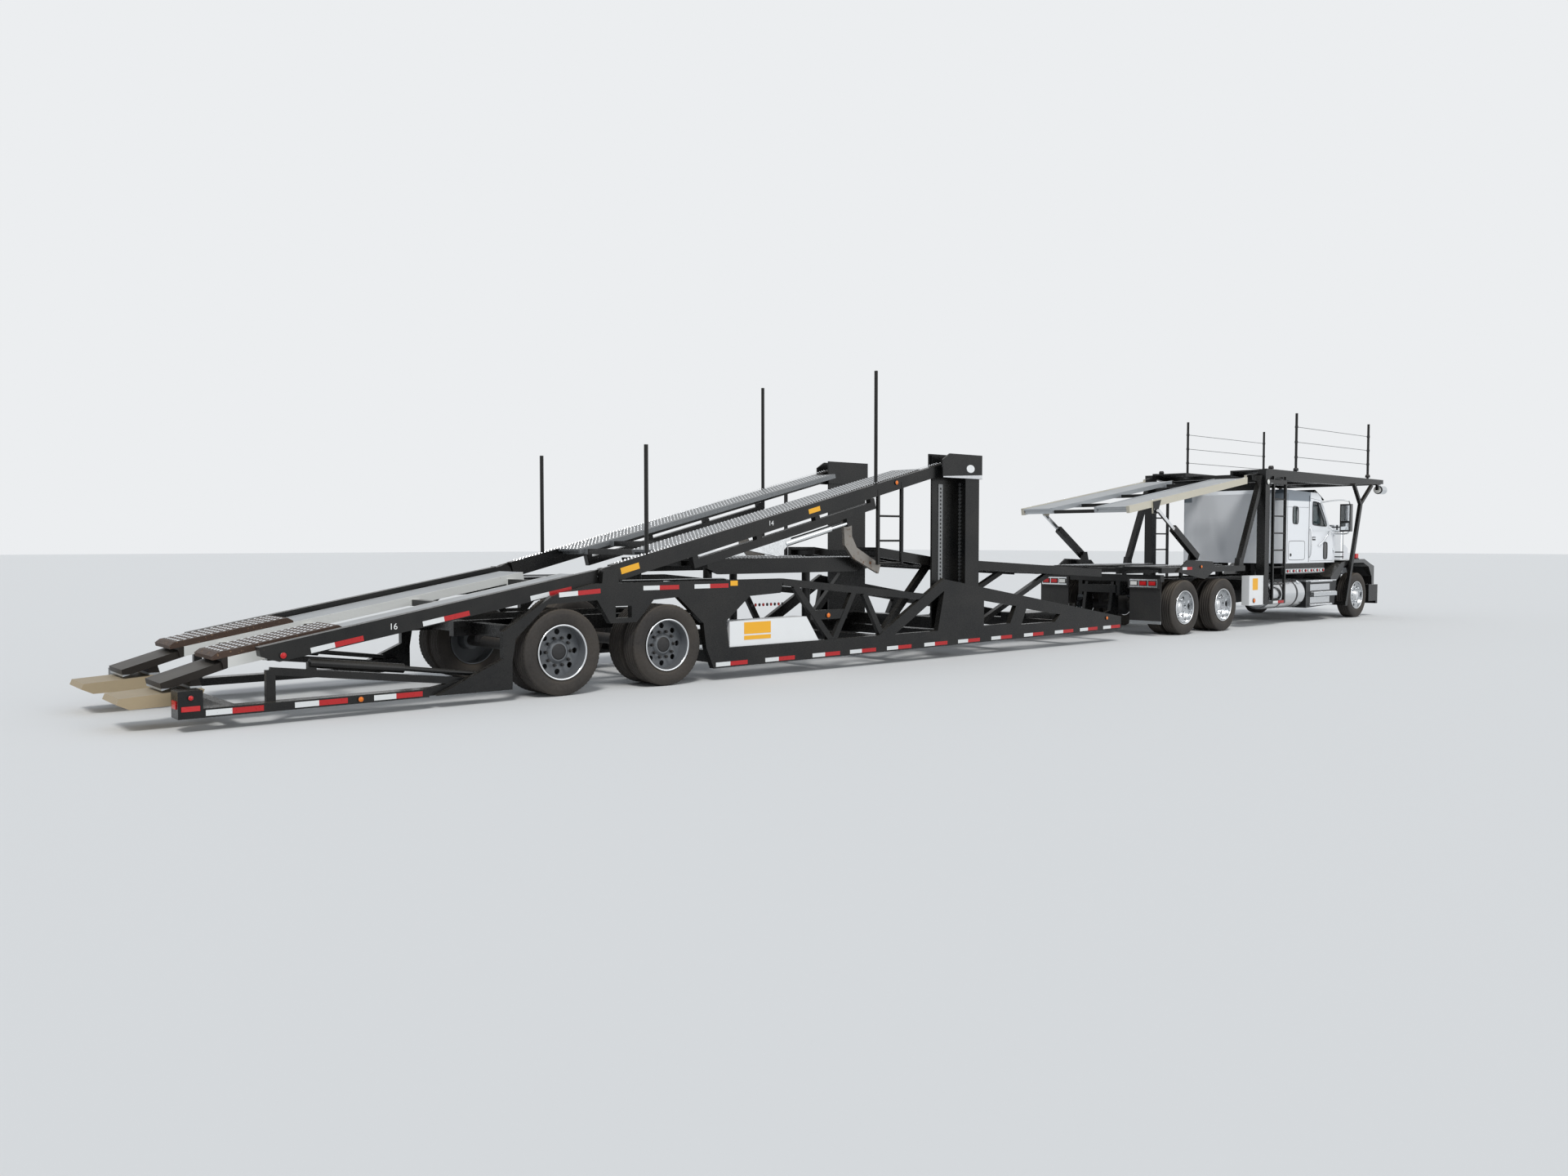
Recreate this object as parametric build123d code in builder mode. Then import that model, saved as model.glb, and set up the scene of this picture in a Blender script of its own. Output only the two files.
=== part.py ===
"""Articulated car transporter: a bonneted tractor with a head rack, and a two-deck trailer on its drop hitch.

Millimetres, +X towards the bonnet, +Y to the left, +Z up, with the origin on the ground at the middle.
Side outlines hold X and Z. They are drawn on the right side and mirrored to the left.
"""
from build123d import *
import os
from math import asin, atan2, cos, degrees, hypot, pi, radians, sin, tan

os.makedirs("parts", exist_ok=True)

# Stations along X: the trailer counts from its rear axle, the tractor from its rear drive axle
rear_overhang = 4150
trailer_axle_to_hitch = 10950
hitch_to_drive_axle = 1530
drive_spread = 1330
trailer_spread = 1360
drive_to_steer = 5890
front_overhang = 1450
drive_axle_from_trailer = trailer_axle_to_hitch + hitch_to_drive_axle
steer_from_drive = drive_spread + drive_to_steer
overall_length = rear_overhang + drive_axle_from_trailer + steer_from_drive + front_overhang
trailer_x = rear_overhang - overall_length / 2
hitch_x = trailer_x + trailer_axle_to_hitch
drive_x = trailer_x + drive_axle_from_trailer
steer_x = drive_x + steer_from_drive

# Widths, all from the middle
half_width = 1295
sill_width = 80
side_inner = half_width - sill_width
rail_gap = 10
rail_outer = side_inner - rail_gap
rail_width = 105
rail_inner = rail_outer - rail_width
track_inner = 420
track_outer = 1000
lug_width = 45

# Wheels and tyres
trailer_tyre_radius = 465
drive_tyre_radius = 482
tyre_width = 250
twin_spacing = 295
steer_tyre_width = 270
steer_track = 1060
bead_radius = 286
rim_flange_radius = 300
rim_wall = 12
hub_radius = 130
hub_bore = 45
spindle_clearance = 0.05
spindle_radius = hub_bore - spindle_clearance
twin_outer = half_width - tyre_width / 2
twin_inner = twin_outer - twin_spacing
hand_holes = 8

# Clearances
pin_radius = 32
pin_clearance = 0.05
seat = 0.3


def at_trailer(points):
    """Outline points measured from the trailer's rear axle."""
    return [(trailer_x + x, z) for x, z in points]


def at_tractor(points):
    """Outline points measured from the rear drive axle."""
    return [(drive_x + x, z) for x, z in points]


def bar_outline(start, end, depth):
    """Four corners of a straight bar seen from the side, centred on its line."""
    length = hypot(end[0] - start[0], end[1] - start[1])
    nx = -(end[1] - start[1]) / length * depth / 2
    nz = (end[0] - start[0]) / length * depth / 2
    return [(start[0] + nx, start[1] + nz), (end[0] + nx, end[1] + nz),
            (end[0] - nx, end[1] - nz), (start[0] - nx, start[1] - nz)]


def leg_outline(foot, head, depth):
    """Leaning leg seen from the side, cut level at both ends."""
    half = depth / 2 * hypot(head[0] - foot[0], head[1] - foot[1]) / abs(head[1] - foot[1])
    return [(foot[0] - half, foot[1]), (foot[0] + half, foot[1]), (head[0] + half, head[1]), (head[0] - half, head[1])]


def side_plate(outline, inner, outer, mode=Mode.ADD):
    """Upright plate on the right side, between two distances from the middle."""
    with BuildSketch(Plane.XZ.offset(inner)) as shape:
        with BuildLine():
            Polyline(*outline, close=True)
        make_face()
    extrude(shape.sketch, amount=outer - inner, mode=mode)


def block(x_range, y_range, z_range, mode=Mode.ADD):
    """Square-cornered block between pairs of limits."""
    sizes = [high - low for low, high in (x_range, y_range, z_range)]
    middle = [(high + low) / 2 for low, high in (x_range, y_range, z_range)]
    with Locations(tuple(middle)):
        Box(*sizes, mode=mode)


def round_bar(start, end, radius, mode=Mode.ADD):
    """Round bar between two points."""
    run = Vector(*end) - Vector(*start)
    with BuildSketch(Plane(origin=start, z_dir=run)) as ring:
        Circle(radius)
    extrude(ring.sketch, amount=run.length, mode=mode)


def cross_tube(x, z, half_span, width, depth):
    """Square tube across the truck, centred on the middle."""
    block((x - width / 2, x + width / 2), (-half_span, half_span), (z - depth / 2, z + depth / 2))


def finish(name, part):
    """Label a piece and write its file."""
    part.label = name
    export_step(part, f"parts/{name}.step")


def tyre_profile(centre, width, radius):
    """Half section of a tyre: bore, sidewalls, shoulders and tread as (radius, lateral) points."""
    half = width / 2
    shoulder = radius - 0.1 * radius
    return [(bead_radius, centre - half * 0.86), (shoulder, centre - half), (radius, centre - half * 0.78),
            (radius, centre + half * 0.78), (shoulder, centre + half), (bead_radius, centre + half * 0.86)]


def spin_profile(points, x, z, mode=Mode.ADD):
    """Turn (radius, lateral) points about a wheel's axle line."""
    with BuildSketch(Plane(origin=(x, 0, z), x_dir=(1, 0, 0), z_dir=(0, 0, 1))) as section:
        with BuildLine():
            Polyline(*points, close=True)
        make_face()
    revolve(section.sketch, axis=Axis((x, 0, z), (0, 1, 0)), mode=mode)


# Tyres and rims, one pair of nodes for each wheel
wheel_rows = []                     # name, x, radius, side, twin
for axle, axle_x in enumerate((trailer_x, trailer_x + trailer_spread), start=1):
    wheel_rows += [(f"trailer_wheel_{axle}_{hand}", axle_x, trailer_tyre_radius, side, True)
                   for hand, side in (("right", -1), ("left", 1))]
for axle, axle_x in enumerate((drive_x, drive_x + drive_spread), start=1):
    wheel_rows += [(f"drive_wheel_{axle}_{hand}", axle_x, drive_tyre_radius, side, True)
                   for hand, side in (("right", -1), ("left", 1))]
wheel_rows += [(f"steer_wheel_{hand}", steer_x, drive_tyre_radius, side, False)
               for hand, side in (("right", -1), ("left", 1))]

twin_dish = 95                      # how far the outer disc sits inside the tyre's outer face
hub_reach = 40                      # hub cap beyond the disc
hole_circle = 215
hole_radius = 32
bead_half = tyre_width / 2 * 0.86
inner_hub_end = twin_inner - 60

for name, x, radius, side, twin in wheel_rows:
    width = tyre_width if twin else steer_tyre_width
    centres = (twin_inner, twin_outer) if twin else (steer_track,)
    with BuildPart() as tyre:
        for centre in centres:
            spin_profile([(r, side * y) for r, y in tyre_profile(centre, width, radius)], x, radius)
    finish(f"{name}_tyre", tyre.part)

    rim_radius = bead_radius - seat
    outer_centre = centres[-1]
    face = outer_centre + width / 2
    disc = face - twin_dish - 45 if twin else outer_centre + 60
    cap = disc + hub_reach if twin else outer_centre + width / 2 - 10
    hub_start = inner_hub_end if twin else steer_track - 110
    well = rim_radius - rim_wall
    with BuildPart() as rim:
        for centre in centres:
            low = centre - width / 2 * 0.8
            high = centre + width / 2 * 0.8
            spin_profile([(rim_radius, side * low), (rim_radius, side * high),
                          (well, side * high), (well, side * low)], x, radius)
        spin_profile([(well + 1, side * (disc - 12)), (well + 1, side * disc), (hub_radius, side * (disc + 8)),
                      (hub_radius * 0.75, side * cap), (hub_bore, side * cap), (hub_bore, side * hub_start),
                      (hub_radius * 0.8, side * hub_start), (hub_radius, side * (disc - 12))], x, radius)
        if twin:
            web = twin_inner + tyre_width / 2 * 0.8
            spin_profile([(well + 1, side * (web - 14)), (well + 1, side * web),
                          (hub_radius * 0.9, side * web), (hub_radius * 0.9, side * (web - 14))], x, radius)
        with Locations(Plane(origin=(x, side * disc, radius), x_dir=(1, 0, 0), z_dir=(0, side, 0))):
            with PolarLocations(hole_circle, hand_holes):
                Cylinder(hole_radius, 60, mode=Mode.SUBTRACT)
    finish(f"{name}_rim", rim.part)

# Trailer frame: low side sills, the wedge to the nose, the tandem beams and the tongue
sill_rear = 2010
wedge_front = 10470
sill_bottom_rear = 150
sill_bottom_front = 210
sill_top_rear = 385
sill_top_front = 410
apex = (6100, 1110)
beam_top = 1185
beam_bottom = 1005
arch_rear = (-560, 640)
tongue_half = 260
tongue_top = 400
coupler_radius = 150
coupler_bore = 60
stinger_low = 230
stinger_top = 330
cross_top = 340
mid_post_x = 3950
front_leg_x = 5300
nose_leg_x = 7700
post_front = 6860
post_rear = 6070


def sill_line(x, rear, front):
    """Height on the sill's sloping edge."""
    return rear + (front - rear) * (x - sill_rear) / (wedge_front - sill_rear)


def chord_line(x):
    """Height on the wedge's upper edge."""
    return apex[1] + (sill_top_front - apex[1]) * (x - apex[0]) / (wedge_front - apex[0])


under_pivot = (-850, 200)
with BuildPart() as trailer_frame:
    # Side: tandem beam, sill and wedge in one outline
    side_plate(at_trailer([
        (-1420, 125), (-600, 120), (-600, 400), arch_rear, (-180, 980), (420, beam_bottom), (590, 745),
        (770, 745), (930, 745), (1160, 985), (1500, beam_bottom), (1860, 690), (1900, 400), (sill_rear, sill_bottom_rear),
        (wedge_front, sill_bottom_front), (wedge_front, sill_top_front), apex,
        (post_rear, 900), (5950, sill_line(5950, sill_top_rear, sill_top_front)),
        (2240, sill_top_rear), (2200, 700), (2560, 985), (3050, 1010), (3100, beam_top), (400, beam_top),
        (-130, 1065), (-700, 720), (-700, 440)]), side_inner, half_width)
    # Openings in the wedge and in the tandem beam
    for opening in (
            [(6950, 790), (7700, 680), (7560, 430), (6950, 420)],
            [(7950, 635), (8800, 510), (8660, 400), (7830, 400)],
            [(655, 800), (655, 930), (865, 930), (865, 800)]):
        side_plate(at_trailer(opening), side_inner - 5, half_width + 5, mode=Mode.SUBTRACT)
    # Brace from the sill to the apex, and the thick rub tube below the post
    side_plate(at_trailer(bar_outline((4820, 330), (6120, 1060), 150)), side_inner + 10, half_width)
    # Lug that carries the pivot of both side rails
    side_plate(at_trailer([(480, beam_top - 20), (700, beam_top - 20), (680, 1330), (500, 1330)]),
               side_inner, half_width)
    pivot_x = 590
    pivot_z = 1262
    round_bar((trailer_x + pivot_x, -rail_inner, pivot_z), (trailer_x + pivot_x, -half_width + 1, pivot_z), pin_radius)
    round_bar((trailer_x + under_pivot[0], -side_inner + 95, under_pivot[1]),
              (trailer_x + under_pivot[0], -half_width + 1, under_pivot[1]), pin_radius)
    # Inner rail of the suspension
    side_plate(at_trailer([(-900, 640), (2400, 640), (2400, 800), (-900, 800)]), 480, 580)
    mirror(about=Plane.XZ)
    # Cross tubes between the sides
    for x, z, span, width, depth in (
            (-640, 720, side_inner + 1, 120, 120), (1950, 720, side_inner + 1, 120, 120), (2330, 720, 900, 80, 120),
            (2150, cross_top - 70, side_inner + 1, 100, 140), (mid_post_x, cross_top - 60, side_inner + 1, 140, 120),
            (front_leg_x, cross_top - 60, side_inner + 1, 200, 120), (6700, cross_top - 60, side_inner + 1, 200, 120),
            (nose_leg_x, cross_top - 60, side_inner + 1, 200, 120), (9300, 310, side_inner + 1, 120, 140),
            (10400, 310, side_inner + 1, 120, 150)):
        cross_tube(trailer_x + x, z, span, width, depth)
    # Tongue and its coupler ring
    block((trailer_x + 9300, hitch_x - 60), (-tongue_half, tongue_half), (stinger_top + seat, tongue_top + 60))
    with BuildSketch(Plane.XY.offset(stinger_top + seat)) as coupler:
        with Locations((hitch_x, 0)):
            Circle(coupler_radius)
    extrude(coupler.sketch, amount=tongue_top + 60 - stinger_top - seat)
    with Locations((hitch_x, 0, tongue_top)):
        Cylinder(coupler_bore, 600, mode=Mode.SUBTRACT)
finish("trailer_frame", trailer_frame.part)

# Trailer side trusses between the tandem beam and the post
truss_inner = side_inner + 10
truss_outer = half_width - 10
with BuildPart() as side_trusses:
    # start, end, depth
    for start, end, depth in (
            ((3000, 1150), (6000, 845), 90), ((3300, 1090), (3920, 380), 80),
            ((4330, 990), (3960, 360), 80), ((4520, 960), (4860, 380), 80)):
        side_plate(at_trailer(bar_outline(start, end, depth)), truss_inner, truss_outer)
    side_plate(at_trailer([(3560, 650), (4200, 650), (4200, 770), (3560, 770)]), truss_inner + 5, truss_outer - 5)
    side_plate(at_trailer([(2000, 0), (6000, 0), (6000, sill_line(6000, sill_top_rear, sill_top_front) + seat),
                           (2000, sill_line(2000, sill_top_rear, sill_top_front) + seat)]), side_inner, half_width, mode=Mode.SUBTRACT)
    side_plate(at_trailer([(2900, 900), (3100 + seat, 900), (3100 + seat, 1400), (2900, 1400)]), side_inner, half_width,
               mode=Mode.SUBTRACT)
    (foot_x, foot_z), (head_x, head_z) = bar_outline((4820, 330), (6120, 1060), 150 + 2 * seat)[:2]
    side_plate(at_trailer([(foot_x - 200, foot_z - 112), (head_x + 200, head_z + 112), (head_x + 200, 300), (foot_x - 200, 0)]),
               side_inner, half_width, mode=Mode.SUBTRACT)
    mirror(about=Plane.XZ)
finish("side_trusses", side_trusses.part)

# Guide posts, with their open rear channels
post_outer = 1265
post_inner = 1040
post_top = 2850
post_split = 6560
with BuildPart() as guide_posts:
    side_plate(at_trailer([(post_split, cross_top + seat), (post_front, cross_top + seat), (post_front, post_top),
                           (post_split, post_top)]), post_inner, side_inner - seat)
    side_plate(at_trailer([(post_split, chord_line(post_split) + seat), (post_front, chord_line(post_front) + seat),
                           (post_front, post_top), (post_split, post_top)]), side_inner - seat - 1, post_outer)
    side_plate(at_trailer([(post_rear, 420), (post_split + 5, 420), (post_split + 5, post_top), (post_rear, post_top)]),
               post_inner, post_inner + 30)
    mirror(about=Plane.XZ)
    for z in (450,):
        cross_tube(trailer_x + 6700, z, post_inner + 5, 200, 160)
finish("guide_posts", guide_posts.part)

# Trailer axles with their hangers
with BuildPart() as trailer_axles:
    for axle_x in (trailer_x, trailer_x + trailer_spread):
        round_bar((axle_x, -inner_hub_end + 1, trailer_tyre_radius), (axle_x, inner_hub_end - 1, trailer_tyre_radius), 65)
        round_bar((axle_x, -twin_outer + 60, trailer_tyre_radius), (axle_x, twin_outer - 60, trailer_tyre_radius),
                  spindle_radius)
        for side in (-1, 1):
            block((axle_x - 90, axle_x + 90), tuple(sorted((side * 490, side * 570))), (trailer_tyre_radius, 640 - seat))
finish("trailer_axles", trailer_axles.part)

# Middle deck over the belly of the trailer
mid_rear = 2200
mid_front = 5100
mid_top = 1430
mid_half = 930
with BuildPart() as mid_deck:
    side_plate(at_trailer([(mid_rear, mid_top - 120), (2400, mid_top - 190), (4700, mid_top - 190), (mid_front, mid_top - 120),
                           (mid_front, mid_top), (mid_rear, mid_top)]), mid_half - 80, mid_half)
    side_plate(at_trailer([(mid_rear, mid_top - 90), (mid_front, mid_top - 90), (mid_front, mid_top), (mid_rear, mid_top)]),
               340, 390)
    side_plate(at_trailer([(mid_rear, mid_top - 30), (mid_front, mid_top - 30), (mid_front, mid_top), (mid_rear, mid_top)]),
               380, mid_half - 70)
    for x, foot in ((2330, 780 + seat), (mid_post_x, cross_top + seat)):
        round_bar((trailer_x + x, -760, foot), (trailer_x + x, -760, mid_top - 20), 55)
    mirror(about=Plane.XZ)
    for x in (2300, 3600, 4900):
        cross_tube(trailer_x + x, mid_top - 60, mid_half - 20, 80, 80)
finish("mid_deck", mid_deck.part)

# Front deck that runs down to the tractor
front_deck_line = [(5130, 1560), (6400, 1400), (10450, 1180)]
with BuildPart() as front_deck:
    for (x0, z0), (x1, z1) in zip(front_deck_line, front_deck_line[1:]):
        side_plate(at_trailer([(x0, z0), (x1, z1), (x1, z1 - 40), (x0, z0 - 40)]), 350, 930)
        side_plate(at_trailer([(x0, z0), (x1, z1), (x1, z1 - 130), (x0, z0 - 130)]), 870, 930)
        side_plate(at_trailer([(x0, z0), (x1, z1), (x1, z1 - 110), (x0, z0 - 110)]), 350, 400)
    side_plate(at_trailer(leg_outline((front_leg_x, cross_top + seat), (6350, 1380), 90)), 760, 840)
    side_plate(at_trailer(leg_outline((nose_leg_x, cross_top + seat), (9700, 1170), 80)), 460, 540)
    mirror(about=Plane.XZ)
    for x, z in ((5250, 1480), (6400, 1330), (8400, 1225), (10300, 1120)):
        cross_tube(trailer_x + x, z, 900, 80, 80)
finish("front_deck", front_deck.part)

# Hydraulic cabinet on the right side
with BuildPart() as hydraulic_cabinet:
    cabinet_foot = [(x, sill_line(x, sill_top_rear, sill_top_front) + seat) for x in (2260, 3700)]
    side_plate(at_trailer(cabinet_foot + [(3490, 700), (2260, 690)]), side_inner - 160, half_width - 15)
finish("hydraulic_cabinet", hydraulic_cabinet.part)

# Sliding carriages at the top of the posts
upper_tip = (6310, 2690)
carriage_low = 2530
carriage_high = 2870
carriage_wall = 25
with BuildPart() as post_carriages:
    side_plate(at_trailer([(post_rear - 30, carriage_low), (post_front + 30, carriage_low),
                           (post_front + 30, carriage_high), (post_rear + 120, carriage_high), (post_rear - 30, 2780)]),
               half_width - carriage_wall, half_width)
    side_plate(at_trailer([(post_rear - 30, carriage_low), (post_front + 30, carriage_low),
                           (post_front + 30, carriage_high), (post_rear - 30, carriage_high)]),
               post_inner - 25, post_inner - seat)
    side_plate(at_trailer([(post_front + 5, carriage_low), (post_front + 30, carriage_low),
                           (post_front + 30, carriage_high), (post_front + 5, carriage_high)]),
               post_inner - 25, half_width)
    round_bar((trailer_x + upper_tip[0], -rail_outer - seat, upper_tip[1]), (trailer_x + upper_tip[0], -half_width + 1, upper_tip[1]),
              pin_radius)
    mirror(about=Plane.XZ)
finish("post_carriages", post_carriages.part)

# Upper deck: side rails from the rear pivot to the carriages
upper_depth = 190
upper_angle = atan2(upper_tip[1] - pivot_z, upper_tip[0] - pivot_x)


def along_upper(distance, rise=0):
    """Point on the upper rail, a distance along it from the pivot and a rise square to it."""
    return (pivot_x + distance * cos(upper_angle) - rise * sin(upper_angle),
            pivot_z + distance * sin(upper_angle) + rise * cos(upper_angle))


upper_length = hypot(upper_tip[0] - pivot_x, upper_tip[1] - pivot_z)
lug_reach = 110
lug_radius = 90
half_rail = upper_depth / 2
pole_rows = ((600, 1250), (4400, 1500))     # distance along the rail, pole height
arm_pivot = along_upper(3810, -305)
arm_outer = 1105
with BuildPart() as upper_deck:
    side_plate(at_trailer([along_upper(lug_reach, -half_rail), along_upper(upper_length, -half_rail + 20),
                           along_upper(upper_length + 55, 0), along_upper(upper_length, half_rail - 20),
                           along_upper(lug_reach, half_rail)]), rail_inner, rail_outer)
    side_plate(at_trailer([along_upper(0, -lug_radius), along_upper(lug_reach + 5, -lug_radius),
                           along_upper(lug_reach + 5, lug_radius), along_upper(0, lug_radius)]),
               rail_outer - lug_width, rail_outer)
    round_bar((trailer_x + pivot_x, -rail_outer + lug_width, pivot_z), (trailer_x + pivot_x, -rail_outer, pivot_z), lug_radius)
    # Lower tube with its spacers
    side_plate(at_trailer([along_upper(1200, -235), along_upper(4300, -235), along_upper(4300, -135), along_upper(1200, -135)]),
               rail_inner + 10, rail_outer - 10)
    for station in (1200, 2200, 3200, 4220):
        side_plate(at_trailer([along_upper(station, -140), along_upper(station + 80, -140),
                               along_upper(station + 80, -half_rail + 5), along_upper(station, -half_rail + 5)]),
                   rail_inner + 10, rail_outer - 10)
    side_plate(at_trailer([along_upper(3750, -350), along_upper(3870, -350), along_upper(3870, -230), along_upper(3750, -230)]),
               arm_outer + 5, arm_outer + 75)
    round_bar((trailer_x + arm_pivot[0], -arm_outer + 50, arm_pivot[1]), (trailer_x + arm_pivot[0], -arm_outer - 10, arm_pivot[1]),
              pin_radius)
    # Running track
    side_plate(at_trailer([along_upper(800, half_rail - 35), along_upper(5350, half_rail - 35),
                           along_upper(5350, half_rail - 5), along_upper(800, half_rail - 5)]), 620, rail_inner + 5)
    side_plate(at_trailer([along_upper(800, half_rail - 65), along_upper(5350, half_rail - 65),
                           along_upper(5350, half_rail - 5), along_upper(800, half_rail - 5)]), 580, 625)
    round_bar((trailer_x + pivot_x, -rail_outer + lug_width + 1, pivot_z), (trailer_x + pivot_x, -rail_outer - 1, pivot_z),
              pin_radius + pin_clearance, mode=Mode.SUBTRACT)
    for station, height in pole_rows:
        x, z = along_upper(station, half_rail - 20)
        round_bar((trailer_x + x, -rail_outer + 40, z), (trailer_x + x, -rail_outer + 40, z + height), 24)
    # Ladder
    for station in (4400, 4870):
        x, z = along_upper(station, 0)
        block((trailer_x + x - 20, trailer_x + x + 20), (-rail_outer - 4, -rail_outer + 36), (1330, z))
    for z in (1350, 1650, 1980):
        x0 = along_upper(4400, 0)[0]
        x1 = along_upper(4870, 0)[0]
        round_bar((trailer_x + x0, -rail_outer + 16, z), (trailer_x + x1, -rail_outer + 16, z), 14)
    mirror(about=Plane.XZ)
    for station in (900, 1300):
        x, z = along_upper(station, half_rail - 60)
        cross_tube(trailer_x + x, z, rail_inner + 5, 80, 70)
finish("upper_deck", upper_deck.part)

# Cylinders under the upper rails
with BuildPart() as upper_cylinders:
    side_plate(at_trailer([along_upper(2050, -235 - seat), along_upper(2760, -235 - seat), along_upper(2700, -320),
                           along_upper(2480, -420)]), rail_inner + 20, rail_outer - 20)
    sleeve_start = along_upper(2650, -300)
    sleeve_end = along_upper(3450, -305)
    middle = (rail_inner + rail_outer) / 2
    round_bar((trailer_x + sleeve_start[0], -middle, sleeve_start[1]), (trailer_x + sleeve_end[0], -middle, sleeve_end[1]), 45)
    round_bar((trailer_x + sleeve_end[0], -middle, sleeve_end[1]),
              (trailer_x + along_upper(3745, -308)[0], -middle, along_upper(3745, -308)[1]), 25)
    mirror(about=Plane.XZ)
finish("upper_cylinders", upper_cylinders.part)

# Hooked lift arms
with BuildPart() as lift_arms:
    arm_x, arm_z = arm_pivot
    side_plate(at_trailer([(arm_x - 60, arm_z + 20), (arm_x, arm_z + 110), (arm_x + 90, arm_z + 110), (arm_x + 100, arm_z - 180),
                           (arm_x + 190, arm_z - 330), (arm_x + 640, arm_z - 560), (arm_x + 600, arm_z - 680),
                           (arm_x + 120, arm_z - 470), (arm_x - 30, arm_z - 300)]), arm_outer - 45, arm_outer)
    round_bar((trailer_x + arm_x, -arm_outer + 50, arm_z), (trailer_x + arm_x, -arm_outer - 1, arm_z),
              pin_radius + pin_clearance, mode=Mode.SUBTRACT)
    mirror(about=Plane.XZ)
finish("lift_arms", lift_arms.part)

# Tail deck: rails, tracks, low end channels and skids
tail_slope = 0.18
tail_angle = atan2(tail_slope, 1)
tail_rail_end = 3690
tail_depth = 170


def along_tail(distance, rise=0):
    """Point on the tail rail, a distance back from the pivot and a rise square to it."""
    return (pivot_x - distance * cos(tail_angle) - rise * sin(tail_angle),
            pivot_z - distance * sin(tail_angle) + rise * cos(tail_angle))


with BuildPart() as tail_deck:
    side_plate(at_trailer([along_tail(lug_reach, -tail_depth / 2), along_tail(tail_rail_end - 150, -tail_depth / 2),
                           along_tail(tail_rail_end, 0), along_tail(tail_rail_end, tail_depth / 2),
                           along_tail(lug_reach, tail_depth / 2)]), rail_inner, rail_outer)
    side_plate(at_trailer([along_tail(0, -80), along_tail(lug_reach + 5, -80), along_tail(lug_reach + 5, 80), along_tail(0, 80)]),
               rail_inner, rail_inner + lug_width)
    round_bar((trailer_x + pivot_x, -rail_inner, pivot_z), (trailer_x + pivot_x, -rail_inner - lug_width, pivot_z), lug_radius)
    round_bar((trailer_x + pivot_x, -rail_inner + 1, pivot_z), (trailer_x + pivot_x, -rail_inner - lug_width - 1, pivot_z),
              pin_radius + pin_clearance, mode=Mode.SUBTRACT)
    # Perforated track with its two side flanges
    side_plate(at_trailer([along_tail(120, 10), along_tail(3960, 10), along_tail(3960, 35), along_tail(120, 35)]),
               track_inner, track_outer)
    for inner in (track_inner, track_outer - 30):
        side_plate(at_trailer([along_tail(120, -60), along_tail(3960, -60), along_tail(3960, 35), along_tail(120, 35)]),
                   inner, inner + 30)
    # Low channel and worn skid
    side_plate(at_trailer([along_tail(3900, 5), along_tail(4480, -60), along_tail(4480, -130), along_tail(3900, -65)]),
               track_inner + 30, track_outer - 30)
    side_plate(at_trailer([(-3450, 330), (-3500, 210), (-4050, 200), (-4150, 250), (-4130, 300), (-3600, 330)]),
               track_inner + 20, track_outer - 20)
    side_plate(at_trailer([(-3450, 300), (-3500, 480), (-3560, 480), (-3560, 300)]), track_inner + 60, track_outer - 60)
    mirror(about=Plane.XZ)
    for station, rise in ((300, -50), (1500, -40), (2700, -40), (3550, -40)):
        x, z = along_tail(station, rise)
        cross_tube(trailer_x + x, z, rail_inner + 5, 100, 70)
finish("tail_deck", tail_deck.part)

# Sliding ramps that lie on the tracks
with BuildPart() as tail_ramps:
    side_plate(at_trailer([along_tail(2830, 35 + seat), along_tail(4030, 35 + seat), along_tail(4030, 70), along_tail(3980, 95),
                           along_tail(2880, 95), along_tail(2830, 55)]), track_inner + 10, track_outer - 10)
    mirror(about=Plane.XZ)
finish("tail_ramps", tail_ramps.part)

# Low underframe with the bumper blocks and the tail cylinders
with BuildPart() as tail_underframe:
    side_plate(at_trailer([(-3700, 120), (-1000, 120), (-780, 130), (-770, 270), (-1000, 270), (-1420, 200), (-3700, 200)]),
               side_inner - 90, side_inner - 10)
    side_plate(at_trailer([(-3750, 120), (-3550, 120), (-3550, 360), (-3750, 360)]), 1080, half_width)
    side_plate(at_trailer([(-3560, 120), (-1500, 120), (-1500, 200), (-3560, 200)]), side_inner - 20, half_width)
    side_plate(at_trailer(bar_outline((-2950, 470), (-1080, 235), 70)), side_inner - 90, side_inner - 30)
    side_plate(at_trailer([(-2990, 150), (-2910, 150), (-2910, 480), (-2990, 480)]), side_inner - 90, side_inner - 30)
    round_bar((trailer_x - 2600, -side_inner + 60, 520), (trailer_x - 1700, -side_inner + 60, 405), 45)
    round_bar((trailer_x - 1700, -side_inner + 60, 405), (trailer_x - 950, -side_inner + 60, 300), 25)
    side_plate(at_trailer([(-2620, 400), (-2540, 400), (-2540, 530), (-2620, 530)]), side_inner - 85, side_inner - 35)
    round_bar((trailer_x - 950, -side_inner + 75, 300), (trailer_x - 950, -side_inner + seat, 300), 25)
    round_bar((trailer_x + under_pivot[0], -side_inner + 5, under_pivot[1]),
              (trailer_x + under_pivot[0], -side_inner + 95, under_pivot[1]), pin_radius + pin_clearance, mode=Mode.SUBTRACT)
    mirror(about=Plane.XZ)
    cross_tube(trailer_x - 3300, 160, 1130, 100, 80)
finish("tail_underframe", tail_underframe.part)

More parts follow.
